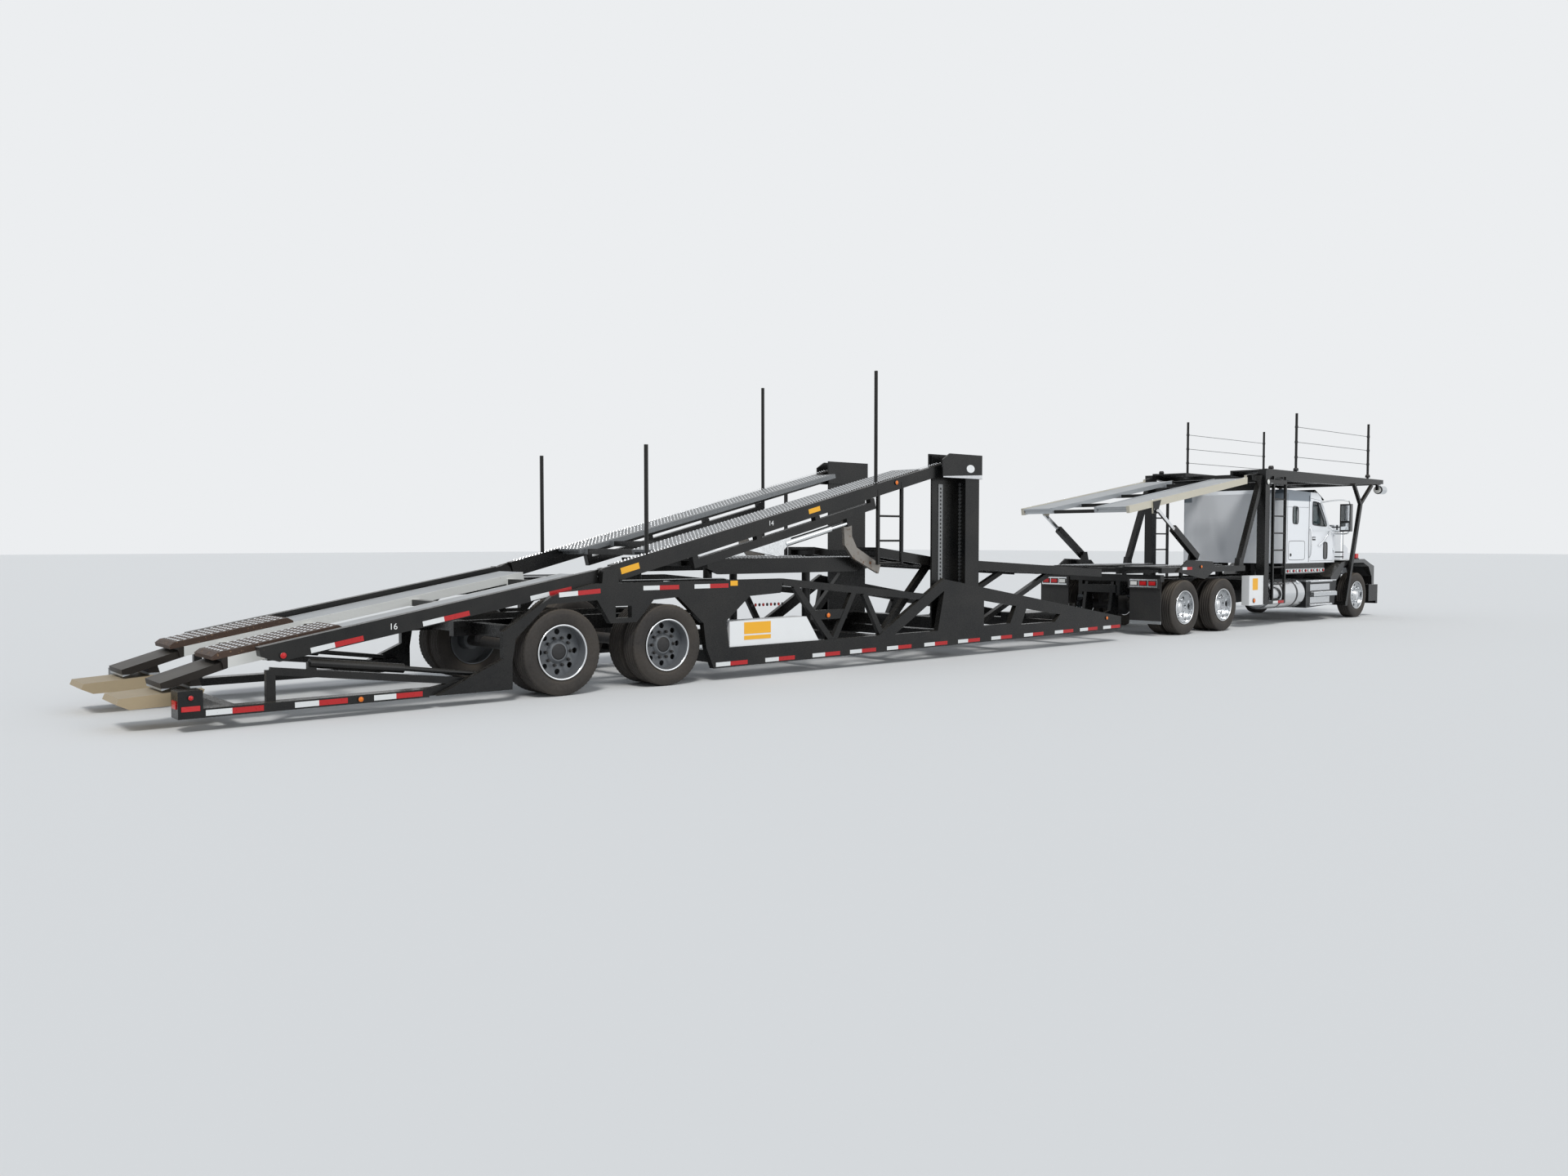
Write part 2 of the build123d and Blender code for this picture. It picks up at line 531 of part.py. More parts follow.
# Tractor frame: rails, cross members, rear beam and the drop stinger with its kingpin
rail_in = 350
rail_out = 430
cab_floor = 1200
hood_pivot = (8060, 730)
frame_top = 950
frame_low = 680
with BuildPart() as tractor_frame:
    side_plate(at_tractor([(-720, frame_low), (7400, frame_low), (7800, 620), (8150, 620), (8150, 800), (7800, 860), (7400, frame_top),
                           (-720, frame_top)]), rail_in, rail_out)
    for x in (4150, 5900):
        block((drive_x + x, drive_x + x + 160), (-rail_out, -rail_in), (frame_top - 5, cab_floor - seat))
    round_bar((drive_x + hood_pivot[0], -rail_out + 1, hood_pivot[1]), (drive_x + hood_pivot[0], -rail_out - 60, hood_pivot[1]), pin_radius)
    mirror(about=Plane.XZ)
    for x in (-680, 640, 2000, 3400, 5000, 7700):
        cross_tube(drive_x + x, 800 if x < 7000 else 700, rail_in + 5, 120, 140)
    # Rear beam with the lamp shelf
    block((drive_x - 740, drive_x - 620), (-1240, 1240), (940, 1060))
    # Stinger: two plates down to the hitch, and the pin
    side_plate(at_tractor([(-560, 940), (-560, 300), (-800, 240), (-1200, 240), (-1200, stinger_top), (-800, 420), (-700, 940)]), 240, 300)
    side_plate(at_tractor([(-560, 940), (-560, 300), (-800, 240), (-1200, 240), (-1200, stinger_top), (-800, 420), (-700, 940)]), -300, -240)
    block((hitch_x - 170, drive_x - 560), (-300, 300), (stinger_low, stinger_top))
    with BuildSketch(Plane.XY.offset(stinger_top - 5)) as pin:
        with Locations((hitch_x, 0)):
            Circle(coupler_bore - pin_clearance)
    extrude(pin.sketch, amount=tongue_top + 160 - stinger_top)
finish("tractor_frame", tractor_frame.part)

# Tractor axles
kingpin_y = 745
kingpin_radius = 22
with BuildPart() as tractor_axles:
    for axle_x in (drive_x, drive_x + drive_spread):
        round_bar((axle_x, -inner_hub_end + 1, drive_tyre_radius), (axle_x, inner_hub_end - 1, drive_tyre_radius), 80)
        round_bar((axle_x, -twin_outer + 60, drive_tyre_radius), (axle_x, twin_outer - 60, drive_tyre_radius), spindle_radius)
        with Locations((axle_x, 0, drive_tyre_radius)):
            Sphere(180)
        for side in (-1, 1):
            block((axle_x - 90, axle_x + 90), tuple(sorted((side * 355, side * 425))), (drive_tyre_radius, frame_low - seat))
    round_bar((steer_x, -kingpin_y, 400), (steer_x, kingpin_y, 400), 55)
    for side in (-1, 1):
        block((steer_x - 60, steer_x + 60), tuple(sorted((side * 355, side * 425))), (400, frame_low - seat))
        round_bar((steer_x, side * kingpin_y, 345), (steer_x, side * kingpin_y, 600), 45)
        round_bar((steer_x, side * kingpin_y, 340), (steer_x, side * kingpin_y, 605), kingpin_radius + pin_clearance,
                  mode=Mode.SUBTRACT)
finish("tractor_axles", tractor_axles.part)

# Steering knuckles
with BuildPart() as knuckle_template:
    block((steer_x - 45, steer_x + 45), (-kingpin_y - 60, -kingpin_y + 60), (275, 340))
    block((steer_x - 45, steer_x + 45), (-kingpin_y - 60, -kingpin_y + 60), (605, 665))
    block((steer_x - 45, steer_x + 45), (-kingpin_y - 110, -kingpin_y - 55), (275, 665))
    round_bar((steer_x, -kingpin_y, 335), (steer_x, -kingpin_y, 610), kingpin_radius)
    round_bar((steer_x, -kingpin_y - 100, drive_tyre_radius), (steer_x, -steer_track - 60, drive_tyre_radius), spindle_radius)
knuckle_right = knuckle_template.part
knuckle_left = mirror(knuckle_right, about=Plane.XZ)
finish("knuckle_right", knuckle_right)
finish("knuckle_left", knuckle_left)

# Engine under the bonnet
with BuildPart() as engine_block:
    block((drive_x + 6450, drive_x + 7600), (-330, 330), (700, 1450))
    for x in (6600, 7300):
        block((drive_x + x, drive_x + x + 120), (-rail_in + seat, rail_in - seat), (760, 880))
finish("engine_block", engine_block.part)

# Low deck over the drive axles
leg_base = (470, 1390)
leg_eye = (-760, 2170)
leg_in = 1150
leg_out = 1240
rod_wall = 26
low_deck_rear = -1900
low_deck_front = 2150
low_deck_top = 1190
with BuildPart() as low_deck:
    side_plate(at_tractor([(-740, low_deck_top - 40), (low_deck_front, low_deck_top - 40), (low_deck_front, low_deck_top),
                           (-740, low_deck_top)]), 350, 1240)
    side_plate(at_tractor([(-740, low_deck_top - 125), (low_deck_front, low_deck_top - 125), (low_deck_front, low_deck_top),
                           (-740, low_deck_top)]), 360, 420)
    side_plate(at_tractor([(-740, low_deck_top - 100), (low_deck_front, low_deck_top - 100), (low_deck_front, low_deck_top),
                           (-740, low_deck_top)]), 1200, 1265)
    side_plate(at_tractor([(-280, 1110), (50, 1310), (900, 1280), (1060, 1150), (650, 970), (420, 995)]), 1265, half_width)
    side_plate(at_tractor([(leg_base[0] - 140, low_deck_top - 5), (leg_base[0] + 140, low_deck_top - 5),
                           (leg_base[0] + 60, leg_base[1] + 50), (leg_base[0] - 60, leg_base[1] + 50)]), leg_in - 45, leg_in - 5)
    round_bar((drive_x + leg_base[0], -leg_in + 10, leg_base[1]), (drive_x + leg_base[0], -leg_out, leg_base[1]), pin_radius)
    side_plate(at_tractor([(-680, low_deck_top - 5), (1900, low_deck_top - 5), (1900, low_deck_top + 10), (-680, low_deck_top + 10)]),
               450, 1000)
    for x in (-500, 1400):
        block((drive_x + x - 40, drive_x + x + 40), (-400, -360), (frame_top + seat, low_deck_top - 100))
    mirror(about=Plane.XZ)
    for x in (-600, 640, 1900):
        cross_tube(drive_x + x, low_deck_top - 60, 380, 100, 80)
finish("low_deck", low_deck.part)

# Rear lamp panels and mud flaps
with BuildPart() as rear_lamps:
    block((drive_x - 765, drive_x - 740 - seat), (-1230, -620), (820, 1000))
    block((drive_x - 735, drive_x - 720), (-1250, -640), (210, 940 - seat))
    mirror(about=Plane.XZ)
finish("rear_lamps", rear_lamps.part)

# Main uprights behind the cab, with ladders and braces
deck_pivot = (2620, 2860)
deck_lug_outer = 1105
post_x0 = 2840
post_x1 = 3010
ladder_x0 = 3190
ladder_x1 = 3680
rack_low = 2720
with BuildPart() as uprights:
    side_plate(at_tractor([(post_x0, 430), (post_x1, 430), (post_x1, 3000), (post_x0, 3000)]), 1130, half_width)
    side_plate(at_tractor(bar_outline((2060, 1240), (post_x0 + 20, 2880), 110)), 1140, 1240)
    side_plate(at_tractor([(1970, low_deck_top + seat), (2140, low_deck_top + seat), (2120, 1330), (2000, 1330)]), 1140, 1240)
    for x in (ladder_x0, ladder_x1):
        side_plate(at_tractor([(x - 22, 430), (x + 22, 430), (x + 22, 2900), (x - 22, 2900)]), half_width - 45, half_width)
    for step in range(7):
        z = 480 + step * 330
        round_bar((drive_x + ladder_x0, -half_width + 22, z), (drive_x + ladder_x1, -half_width + 22, z), 15)
    side_plate(at_tractor([(post_x0, 430), (ladder_x1, 430), (ladder_x1, 500), (post_x0, 500)]), half_width - 45, half_width)
    side_plate(at_tractor([(post_x1 - 5, 2750), (ladder_x1 + 22, 2750), (ladder_x1 + 22, 2830), (post_x1 - 5, 2830)]), 1130, half_width)
    block((drive_x + post_x0, drive_x + post_x1), (-1140, -rail_out - seat), (700, 900))
    side_plate(at_tractor([(post_x0 + 5, 2780), (post_x0 + 5, 2940), (deck_pivot[0] - 50, 2910), (deck_pivot[0] - 50, 2810)]),
               deck_lug_outer + 5, 1160)
    round_bar((drive_x + deck_pivot[0], -deck_lug_outer + 50, deck_pivot[1]), (drive_x + deck_pivot[0], -1140, deck_pivot[1]), pin_radius)
    mirror(about=Plane.XZ)
    cross_tube(drive_x + (post_x0 + post_x1) / 2, 2700, 1140, 120, 140)
finish("uprights", uprights.part)

# White control cabinet on the right side of the tractor
with BuildPart() as control_cabinet:
    side_plate(at_tractor([(2290, 430), (post_x0 - seat, 430), (post_x0 - seat, 990), (2290, 990)]), 1130, 1280)
finish("control_cabinet", control_cabinet.part)

# Tractor deck behind the cab
deck_rear = (-1530, 2215)
deck_slope = atan2(deck_pivot[1] - deck_rear[1], deck_pivot[0] - deck_rear[0])
deck_length = hypot(deck_pivot[0] - deck_rear[0], deck_pivot[1] - deck_rear[1])


def along_deck(distance, rise=0):
    """Point on the tractor deck, a distance back from its front pivot and a rise square to it."""
    return (deck_pivot[0] - distance * cos(deck_slope) - rise * sin(deck_slope),
            deck_pivot[1] - distance * sin(deck_slope) + rise * cos(deck_slope))


with BuildPart() as tractor_deck:
    side_plate(at_tractor([along_deck(150, -20), along_deck(deck_length, -20), along_deck(deck_length, 10), along_deck(150, 10)]),
               460, 1120)
    for inner, outer, depth in ((1060, 1120, 110), (430, 480, 70)):
        side_plate(at_tractor([along_deck(150, 10 - depth), along_deck(deck_length, 10 - depth), along_deck(deck_length, 20),
                               along_deck(150, 20)]), inner, outer)
    side_plate(at_tractor([along_deck(-60, -60), along_deck(160, -60), along_deck(160, 60), along_deck(-60, 60)]),
               deck_lug_outer - 45, deck_lug_outer)
    round_bar((drive_x + deck_pivot[0], -deck_lug_outer + 50, deck_pivot[1]),
              (drive_x + deck_pivot[0], -deck_lug_outer - 1, deck_pivot[1]), pin_radius + pin_clearance, mode=Mode.SUBTRACT)
    side_plate(at_tractor([(leg_eye[0] - 60, leg_eye[1] - 50), (leg_eye[0] + 60, leg_eye[1] - 50), along_deck(3250, 0), along_deck(3500, 0)]),
               1110, 1150)
    round_bar((drive_x + leg_eye[0], -1140, leg_eye[1]), (drive_x + leg_eye[0], -leg_in - rod_wall + seat, leg_eye[1]), 22)
    mirror(about=Plane.XZ)
    for station in (400, 2000, 3300, deck_length - 60):
        x, z = along_deck(station, -60)
        cross_tube(drive_x + x, z, 1080, 80, 60)
finish("tractor_deck", tractor_deck.part)

# Deck legs: barrels hinged at the low deck, rods inside them
leg_angle = atan2(leg_eye[1] - leg_base[1], leg_eye[0] - leg_base[0])
leg_length = hypot(leg_eye[1] - leg_base[1], leg_eye[0] - leg_base[0])


def along_leg(distance, rise=0):
    """Point on the deck leg, a distance up from its base."""
    return (leg_base[0] + distance * cos(leg_angle) - rise * sin(leg_angle),
            leg_base[1] + distance * sin(leg_angle) + rise * cos(leg_angle))


with BuildPart() as leg_barrels:
    side_plate(at_tractor([along_leg(-60, -60), along_leg(900, -60), along_leg(900, 60), along_leg(-60, 60)]), leg_in, leg_out)
    bore = 30 + seat
    side_plate(at_tractor([along_leg(60, -bore), along_leg(905, -bore), along_leg(905, bore), along_leg(60, bore)]),
               leg_in + rod_wall - seat, leg_out - rod_wall + seat, mode=Mode.SUBTRACT)
    round_bar((drive_x + leg_base[0], -leg_in + 1, leg_base[1]), (drive_x + leg_base[0], -leg_out - 1, leg_base[1]),
              pin_radius + pin_clearance, mode=Mode.SUBTRACT)
    mirror(about=Plane.XZ)
finish("leg_barrels", leg_barrels.part)
with BuildPart() as leg_rods:
    side_plate(at_tractor([along_leg(450, -30), along_leg(leg_length, -30), along_leg(leg_length, 30), along_leg(450, 30)]),
               leg_in + rod_wall, leg_out - rod_wall)
    mirror(about=Plane.XZ)
finish("leg_rods", leg_rods.part)

# Cab with its sleeper, both hollow
cab_half = 1080
door_hinge = (6275, 1095)
knuckle_size = 14
cab_wall = 45
cab_outline = [(4010, cab_floor), (6330, cab_floor), (6330, 1900), (6080, 1960), (5650, 2560), (5500, 2640), (4060, 2680), (4010, 2600)]
cab_inside = [(4010 + cab_wall, cab_floor + cab_wall), (6330 - cab_wall, cab_floor + cab_wall), (6330 - cab_wall, 1860), (6050, 1910),
              (5610, 2520), (5480, 2640 - cab_wall), (4060 + cab_wall, 2680 - cab_wall), (4010 + cab_wall, 2580)]
door_outline = [(5200, 1235), (6260, 1235), (6260, 1870), (6040, 1925), (5640, 2490), (5200, 2530)]
door_window = [(5290, 1990), (5930, 1960), (5880, 2060), (5600, 2430), (5290, 2460)]
side_window = [(4420, 2010), (4640, 2000), (4640, 2330), (4420, 2340)]
windscreen_low = 1990
with BuildPart() as cab_shell:
    side_plate(at_tractor(cab_outline), -cab_half, cab_half)
    side_plate(at_tractor(cab_inside), -cab_half + cab_wall, cab_half - cab_wall, mode=Mode.SUBTRACT)
    for inner, outer in ((cab_half - 200, cab_half + 10), (-cab_half - 10, -cab_half + 200)):
        side_plate(at_tractor(door_outline), inner, outer, mode=Mode.SUBTRACT)
        side_plate(at_tractor(side_window), inner, outer, mode=Mode.SUBTRACT)
    block((drive_x + 5500, drive_x + 6300), (-cab_half + 150, -40), (windscreen_low, 2500), mode=Mode.SUBTRACT)
    block((drive_x + 5500, drive_x + 6300), (40, cab_half - 150), (windscreen_low, 2500), mode=Mode.SUBTRACT)
    for side in (-1, 1):
        for z in (1400, 1740):
            round_bar((drive_x + door_hinge[0], side * door_hinge[1], z), (drive_x + door_hinge[0], side * door_hinge[1], z + 50), knuckle_size)
            block((drive_x + door_hinge[0], drive_x + door_hinge[0] + 30), tuple(sorted((side * (cab_half - 5), side * door_hinge[1]))),
                  (z, z + 50))
finish("cab_shell", cab_shell.part)

with BuildPart() as cab_seats:
    for side in (-1, 1):
        block((drive_x + 5150, drive_x + 5650), tuple(sorted((side * 250, side * 750))), (cab_floor + cab_wall + seat, 1640))
        block((drive_x + 5050, drive_x + 5200), tuple(sorted((side * 260, side * 740))), (1500, 2250))
    block((drive_x + 6000, drive_x + 6270), (-950, 950), (1500, 1830))
    block((drive_x + 6220, drive_x + 6330 - cab_wall - seat), (-950, 950), (1300, 1600))
finish("cab_seats", cab_seats.part)

# Doors with their windows, and the mirrors on them
door_gap = 6
for hand, side in (("right", 1), ("left", -1)):
    low, high = sorted((side * (cab_half - cab_wall), side * cab_half))
    with BuildPart() as door:
        with BuildSketch(Plane.XZ.offset(low)) as shape:
            with BuildLine():
                Polyline(*at_tractor(door_outline), close=True)
            make_face()
            offset(amount=-door_gap, mode=Mode.REPLACE)
        extrude(shape.sketch, amount=high - low)
        side_plate(at_tractor(door_window), low - 5, high + 5, mode=Mode.SUBTRACT)
        block((drive_x + 6130, drive_x + 6170), tuple(sorted((-side * (cab_half - 10), -side * 1300))), (1850, 1880))
        block((drive_x + 6100, drive_x + 6200), tuple(sorted((-side * 1280, -side * 1500))), (1845, 2420))
        for z in (1450 + seat, 1790 + seat):
            y = -side * door_hinge[1]
            round_bar((drive_x + door_hinge[0], y, z), (drive_x + door_hinge[0], y, z + 50), knuckle_size)
            block((drive_x + 6225, drive_x + 6248), tuple(sorted((-side * (cab_half - 10), y))), (z, z + 50))
            block((drive_x + 6225, drive_x + door_hinge[0]), tuple(sorted((-side * (cab_half + 1), y))), (z, z + 50))
    finish(f"door_{hand}", door.part)
    with BuildPart() as glass:
        with BuildSketch(Plane.XZ.offset(side * (cab_half - 25) - 3)) as pane:
            with BuildLine():
                Polyline(*at_tractor(door_window), close=True)
            make_face()
            offset(amount=-seat, mode=Mode.REPLACE)
        extrude(pane.sketch, amount=6)
    finish(f"door_glass_{hand}", glass.part)

with BuildPart() as cab_glass:
    with BuildSketch(Plane.XZ.offset(cab_half - 25)) as pane:
        with BuildLine():
            Polyline(*at_tractor(side_window), close=True)
        make_face()
        offset(amount=-seat, mode=Mode.REPLACE)
    extrude(pane.sketch, amount=6)
    mirror(about=Plane.XZ)
finish("cab_glass", cab_glass.part)

# Bonnet with its fenders, and the grille
hood_rear = 6345
hood_front = 8050
hood_half = 620
hood_outline = [(hood_rear, 1150), (hood_front, 900), (hood_front, 1480), (7900, 1560), (hood_rear, 1850)]
fender_in = 900
fender_out = 1215
with BuildPart() as hood:
    side_plate(at_tractor(hood_outline), -hood_half, hood_half)
    side_plate(at_tractor([(hood_rear - 5, 1100), (hood_front - 40, 860), (hood_front - 40, 1440), (7880, 1510), (hood_rear - 5, 1800)]),
               -hood_half + 30, hood_half - 30, mode=Mode.SUBTRACT)
    side_plate(at_tractor([(6725, 1080), (6725, 1240), (6900, 1260), (7500, 1260), (7850, 1140), (7990, 880), (7870, 880), (7720, 1090),
                           (7450, 1180), (6960, 1180)]), hood_half - 30, fender_out)
    side_plate(at_tractor([(7890, 700), (8000, 700), (8000, 1100), (7860, 1140)]), hood_half - 30, fender_out)
    side_plate(at_tractor([(hood_pivot[0] - 60, hood_pivot[1] - 60), (hood_pivot[0] + 60, hood_pivot[1] - 60),
                           (hood_front, 880), (hood_front, 960), (hood_pivot[0] - 60, 960)]), rail_out + 10, rail_out + 50)
    round_bar((drive_x + hood_pivot[0], -rail_out - 5, hood_pivot[1]), (drive_x + hood_pivot[0], -rail_out - 55, hood_pivot[1]),
              pin_radius + pin_clearance, mode=Mode.SUBTRACT)
    mirror(about=Plane.XZ)
finish("hood", hood.part)

with BuildPart() as grille:
    block((drive_x + hood_front + seat, drive_x + hood_front + 40), (-480, 480), (920, 1440))
    for bar in range(9):
        y = -400 + bar * 100
        block((drive_x + hood_front + 39, drive_x + hood_front + 60), (y - 25, y + 25), (950, 1410))
finish("grille", grille.part)

# Front bumper with its tow eyes
tow_eye_radius = 25
with BuildPart() as front_bumper:
    block((drive_x + 8150 + seat, drive_x + 8240), (-1200, 1200), (270, 690))
    block((drive_x + 7780, drive_x + 8200), (-1200, -1150), (330, 690))
    block((drive_x + 7780, drive_x + 8200), (1150, 1200), (330, 690))
    for side in (-1, 1):
        block((drive_x + 8235, drive_x + 8320), tuple(sorted((side * 380, side * 410))), (420, 520))
        round_bar((drive_x + 8280, side * 370, 470), (drive_x + 8280, side * 420, 470), tow_eye_radius, mode=Mode.SUBTRACT)
finish("front_bumper", front_bumper.part)

# Fuel tanks, step boxes and air cleaners
tank_radius = 290
tank_y = 945
with BuildPart() as fuel_tanks:
    round_bar((drive_x + 3240, -tank_y, 600), (drive_x + 4660, -tank_y, 600), tank_radius)
    block((drive_x + 3700, drive_x + 3800), (-tank_y + 200, -rail_out - seat), (700, 850))
    block((drive_x + 4300, drive_x + 4400), (-tank_y + 200, -rail_out - seat), (700, 850))
    mirror(about=Plane.XZ)
finish("fuel_tanks", fuel_tanks.part)

with BuildPart() as step_boxes:
    side_plate(at_tractor([(4810, 290), (6100, 330), (6200, 850), (4810, 850)]), 620, 1190)
    side_plate(at_tractor([(5000, 520), (6050, 520), (6050, 600), (5000, 600)]), 1180, 1270)
    side_plate(at_tractor([(5870, 845), (5870, 900), (6360, 1190), (6690, 1240), (6690, 1160), (6480, 1100), (6190, 845)]), 640, fender_out)
    block((drive_x + 4900, drive_x + 5000), (-640, -rail_out - seat), (700, 840))
    block((drive_x + 5900, drive_x + 6000), (-640, -rail_out - seat), (700, 840))
    mirror(about=Plane.XZ)
finish("step_boxes", step_boxes.part)

with BuildPart() as air_cleaners:
    round_bar((drive_x + 6530, -1000, 1270), (drive_x + 6530, -1000, 1990), 165)
    block((drive_x + 6330 + seat, drive_x + 6400), (-1040, -960), (1500, 1700))
    mirror(about=Plane.XZ)
finish("air_cleaners", air_cleaners.part)

# Head rack over the cab and bonnet
rack_rear = post_x1 + seat
rack_front = 8360
rack_top = 3040
with BuildPart() as head_rack:
    side_plate(at_tractor([(rack_rear, rack_top - 120), (rack_rear, rack_top), (rack_front, rack_top - 40), (rack_front, rack_top - 130),
                           (6400, rack_top - 210), (4000, rack_top - 210)]), 1130, 1230)
    side_plate(at_tractor([(rack_rear, rack_top - 40), (rack_front, rack_top - 80), (rack_front, rack_top - 50), (rack_rear, rack_top - 10)]),
               520, 1135)
    side_plate(at_tractor([(rack_rear, rack_top - 120), (rack_front, rack_top - 140), (rack_front, rack_top - 50), (rack_rear, rack_top - 10)]),
               480, 530)
    for start, end, depth in (((7120, 2440), (6790, 2860), 60), ((7120, 2440), (7680, 2860), 60), ((7140, 2480), (6460, 290), 90)):
        side_plate(at_tractor(bar_outline(start, end, depth)), 1225, half_width - 5)
    side_plate(at_tractor([(6420, 290), (6520, 290), (6520, 370), (6420, 370)]), rail_out + 200, half_width - 5)
    side_plate(at_tractor([(6420, 290), (6520, 290), (6520, 800), (6420, 800)]), rail_out + seat, rail_out + 210)
    for x in (4300, 7660):
        round_bar((drive_x + x, -1180, rack_top - 100), (drive_x + x, -1180, 4190), 25)
    mirror(about=Plane.XZ)
    for x in (3400, 5000, 6600, rack_front - 60):
        cross_tube(drive_x + x, rack_top - 110, 1140, 90, 80)
    for side in (-1, 1):
        round_bar((drive_x + rack_front + 60, side * 1100, 2790), (steer_x + front_overhang, side * 1100, 2790), 95)
        block((drive_x + rack_front - 40, drive_x + rack_front + 110), tuple(sorted((side * 1080, side * 1130))), (2780, 2940))
finish("head_rack", head_rack.part)
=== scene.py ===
import math

import bmesh
import bpy
from mathutils import Matrix, Vector


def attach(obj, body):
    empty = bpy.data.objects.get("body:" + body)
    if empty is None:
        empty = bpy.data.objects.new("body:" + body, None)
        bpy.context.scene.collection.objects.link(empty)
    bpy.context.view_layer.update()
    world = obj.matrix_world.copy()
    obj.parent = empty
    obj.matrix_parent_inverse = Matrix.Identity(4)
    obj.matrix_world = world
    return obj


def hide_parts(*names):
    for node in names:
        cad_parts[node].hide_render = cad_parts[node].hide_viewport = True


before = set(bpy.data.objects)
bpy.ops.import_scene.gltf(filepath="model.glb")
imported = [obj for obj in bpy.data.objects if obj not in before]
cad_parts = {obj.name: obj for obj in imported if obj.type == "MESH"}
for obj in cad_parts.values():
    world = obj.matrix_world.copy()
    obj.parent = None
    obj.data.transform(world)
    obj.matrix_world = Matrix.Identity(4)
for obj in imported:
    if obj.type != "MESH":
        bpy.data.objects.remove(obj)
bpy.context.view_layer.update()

# Measures of the CAD in metres: axle stations along the truck, faces across it, and the wheels
trailer_x = -8.5
drive_x = 3.98
steer_x = 11.2
half_width = 1.295
rail_face = 1.205
cab_side = 1.08
pole_y = 1.18
pole_radius = 0.0255
trailer_radius, drive_radius = 0.465, 0.482
twin_centres, steer_centre = (0.875, 1.17), 1.06
twin_width, steer_width = 0.25, 0.27
both_sides = (-1, 1)
right_only = (-1,)
hands = (("right", -1), ("left", 1))


# Colours and nodes

def srgb(code):
    """Linear colour of an sRGB hex value."""
    parts = [int(code[i:i + 2], 16) / 255 for i in (1, 3, 5)]
    return tuple(c / 12.92 if c <= 0.04045 else ((c + 0.055) / 1.055) ** 2.4 for c in parts) + (1.0,)


def add(tree, kind, attributes=None, inputs=None):
    """Add a node, set its attributes, and give each named input a value or a link."""
    made = tree.nodes.new(kind)
    for name, value in (attributes or {}).items():
        setattr(made, name, value)
    for name, value in (inputs or {}).items():
        socket = made.inputs[name]
        if isinstance(value, bpy.types.NodeSocket):
            tree.links.new(value, socket)
        else:
            socket.default_value = value
    return made


def maths(tree, operation, *values):
    """Result of a maths node on one or two values."""
    return add(tree, "ShaderNodeMath", {"operation": operation}, dict(enumerate(values))).outputs["Value"]


def spread(tree, value, low, high, start=0.0, end=1.0):
    """A value carried over from one range to another and held inside it."""
    return add(tree, "ShaderNodeMapRange", None,
        {"Value": value, "From Min": low, "From Max": high, "To Min": start, "To Max": end}).outputs["Result"]


def mixed(tree, factor, first, second, kind="FLOAT"):
    """Mix of two values, or of two colours with the kind RGBA."""
    return add(tree, "ShaderNodeMix", {"data_type": kind},
        {"Factor": factor, "A": first, "B": second}).outputs["Result"]


def noise(tree, place, scale, detail, roughness):
    """Noise in object coordinates."""
    return add(tree, "ShaderNodeTexNoise", None,
        {"Vector": place["Object"], "Scale": scale, "Detail": detail, "Roughness": roughness}).outputs["Fac"]


def begin_material(name):
    """Material with an empty node tree, and its coordinates."""
    material = bpy.data.materials.new(name)
    material.use_nodes = True
    tree = material.node_tree
    tree.nodes.clear()
    return material, tree, add(tree, "ShaderNodeTexCoord").outputs


def end_material(tree, values):
    """Shader with its values, joined to the output."""
    shader = add(tree, "ShaderNodeBsdfPrincipled", None, values)
    add(tree, "ShaderNodeOutputMaterial", None, {"Surface": shader.outputs["BSDF"]})


def inside_zone(tree, split, across, low, high):
    """Mask that is 1 between two corners; across is the distance from the middle plane."""
    mask = None
    for value, start, end in zip((split.outputs["X"], across, split.outputs["Z"]), low, high):
        above, below = maths(tree, "GREATER_THAN", value, start), maths(tree, "LESS_THAN", value, end)
        both = maths(tree, "MULTIPLY", above, below)
        mask = both if mask is None else maths(tree, "MULTIPLY", mask, both)
    return mask


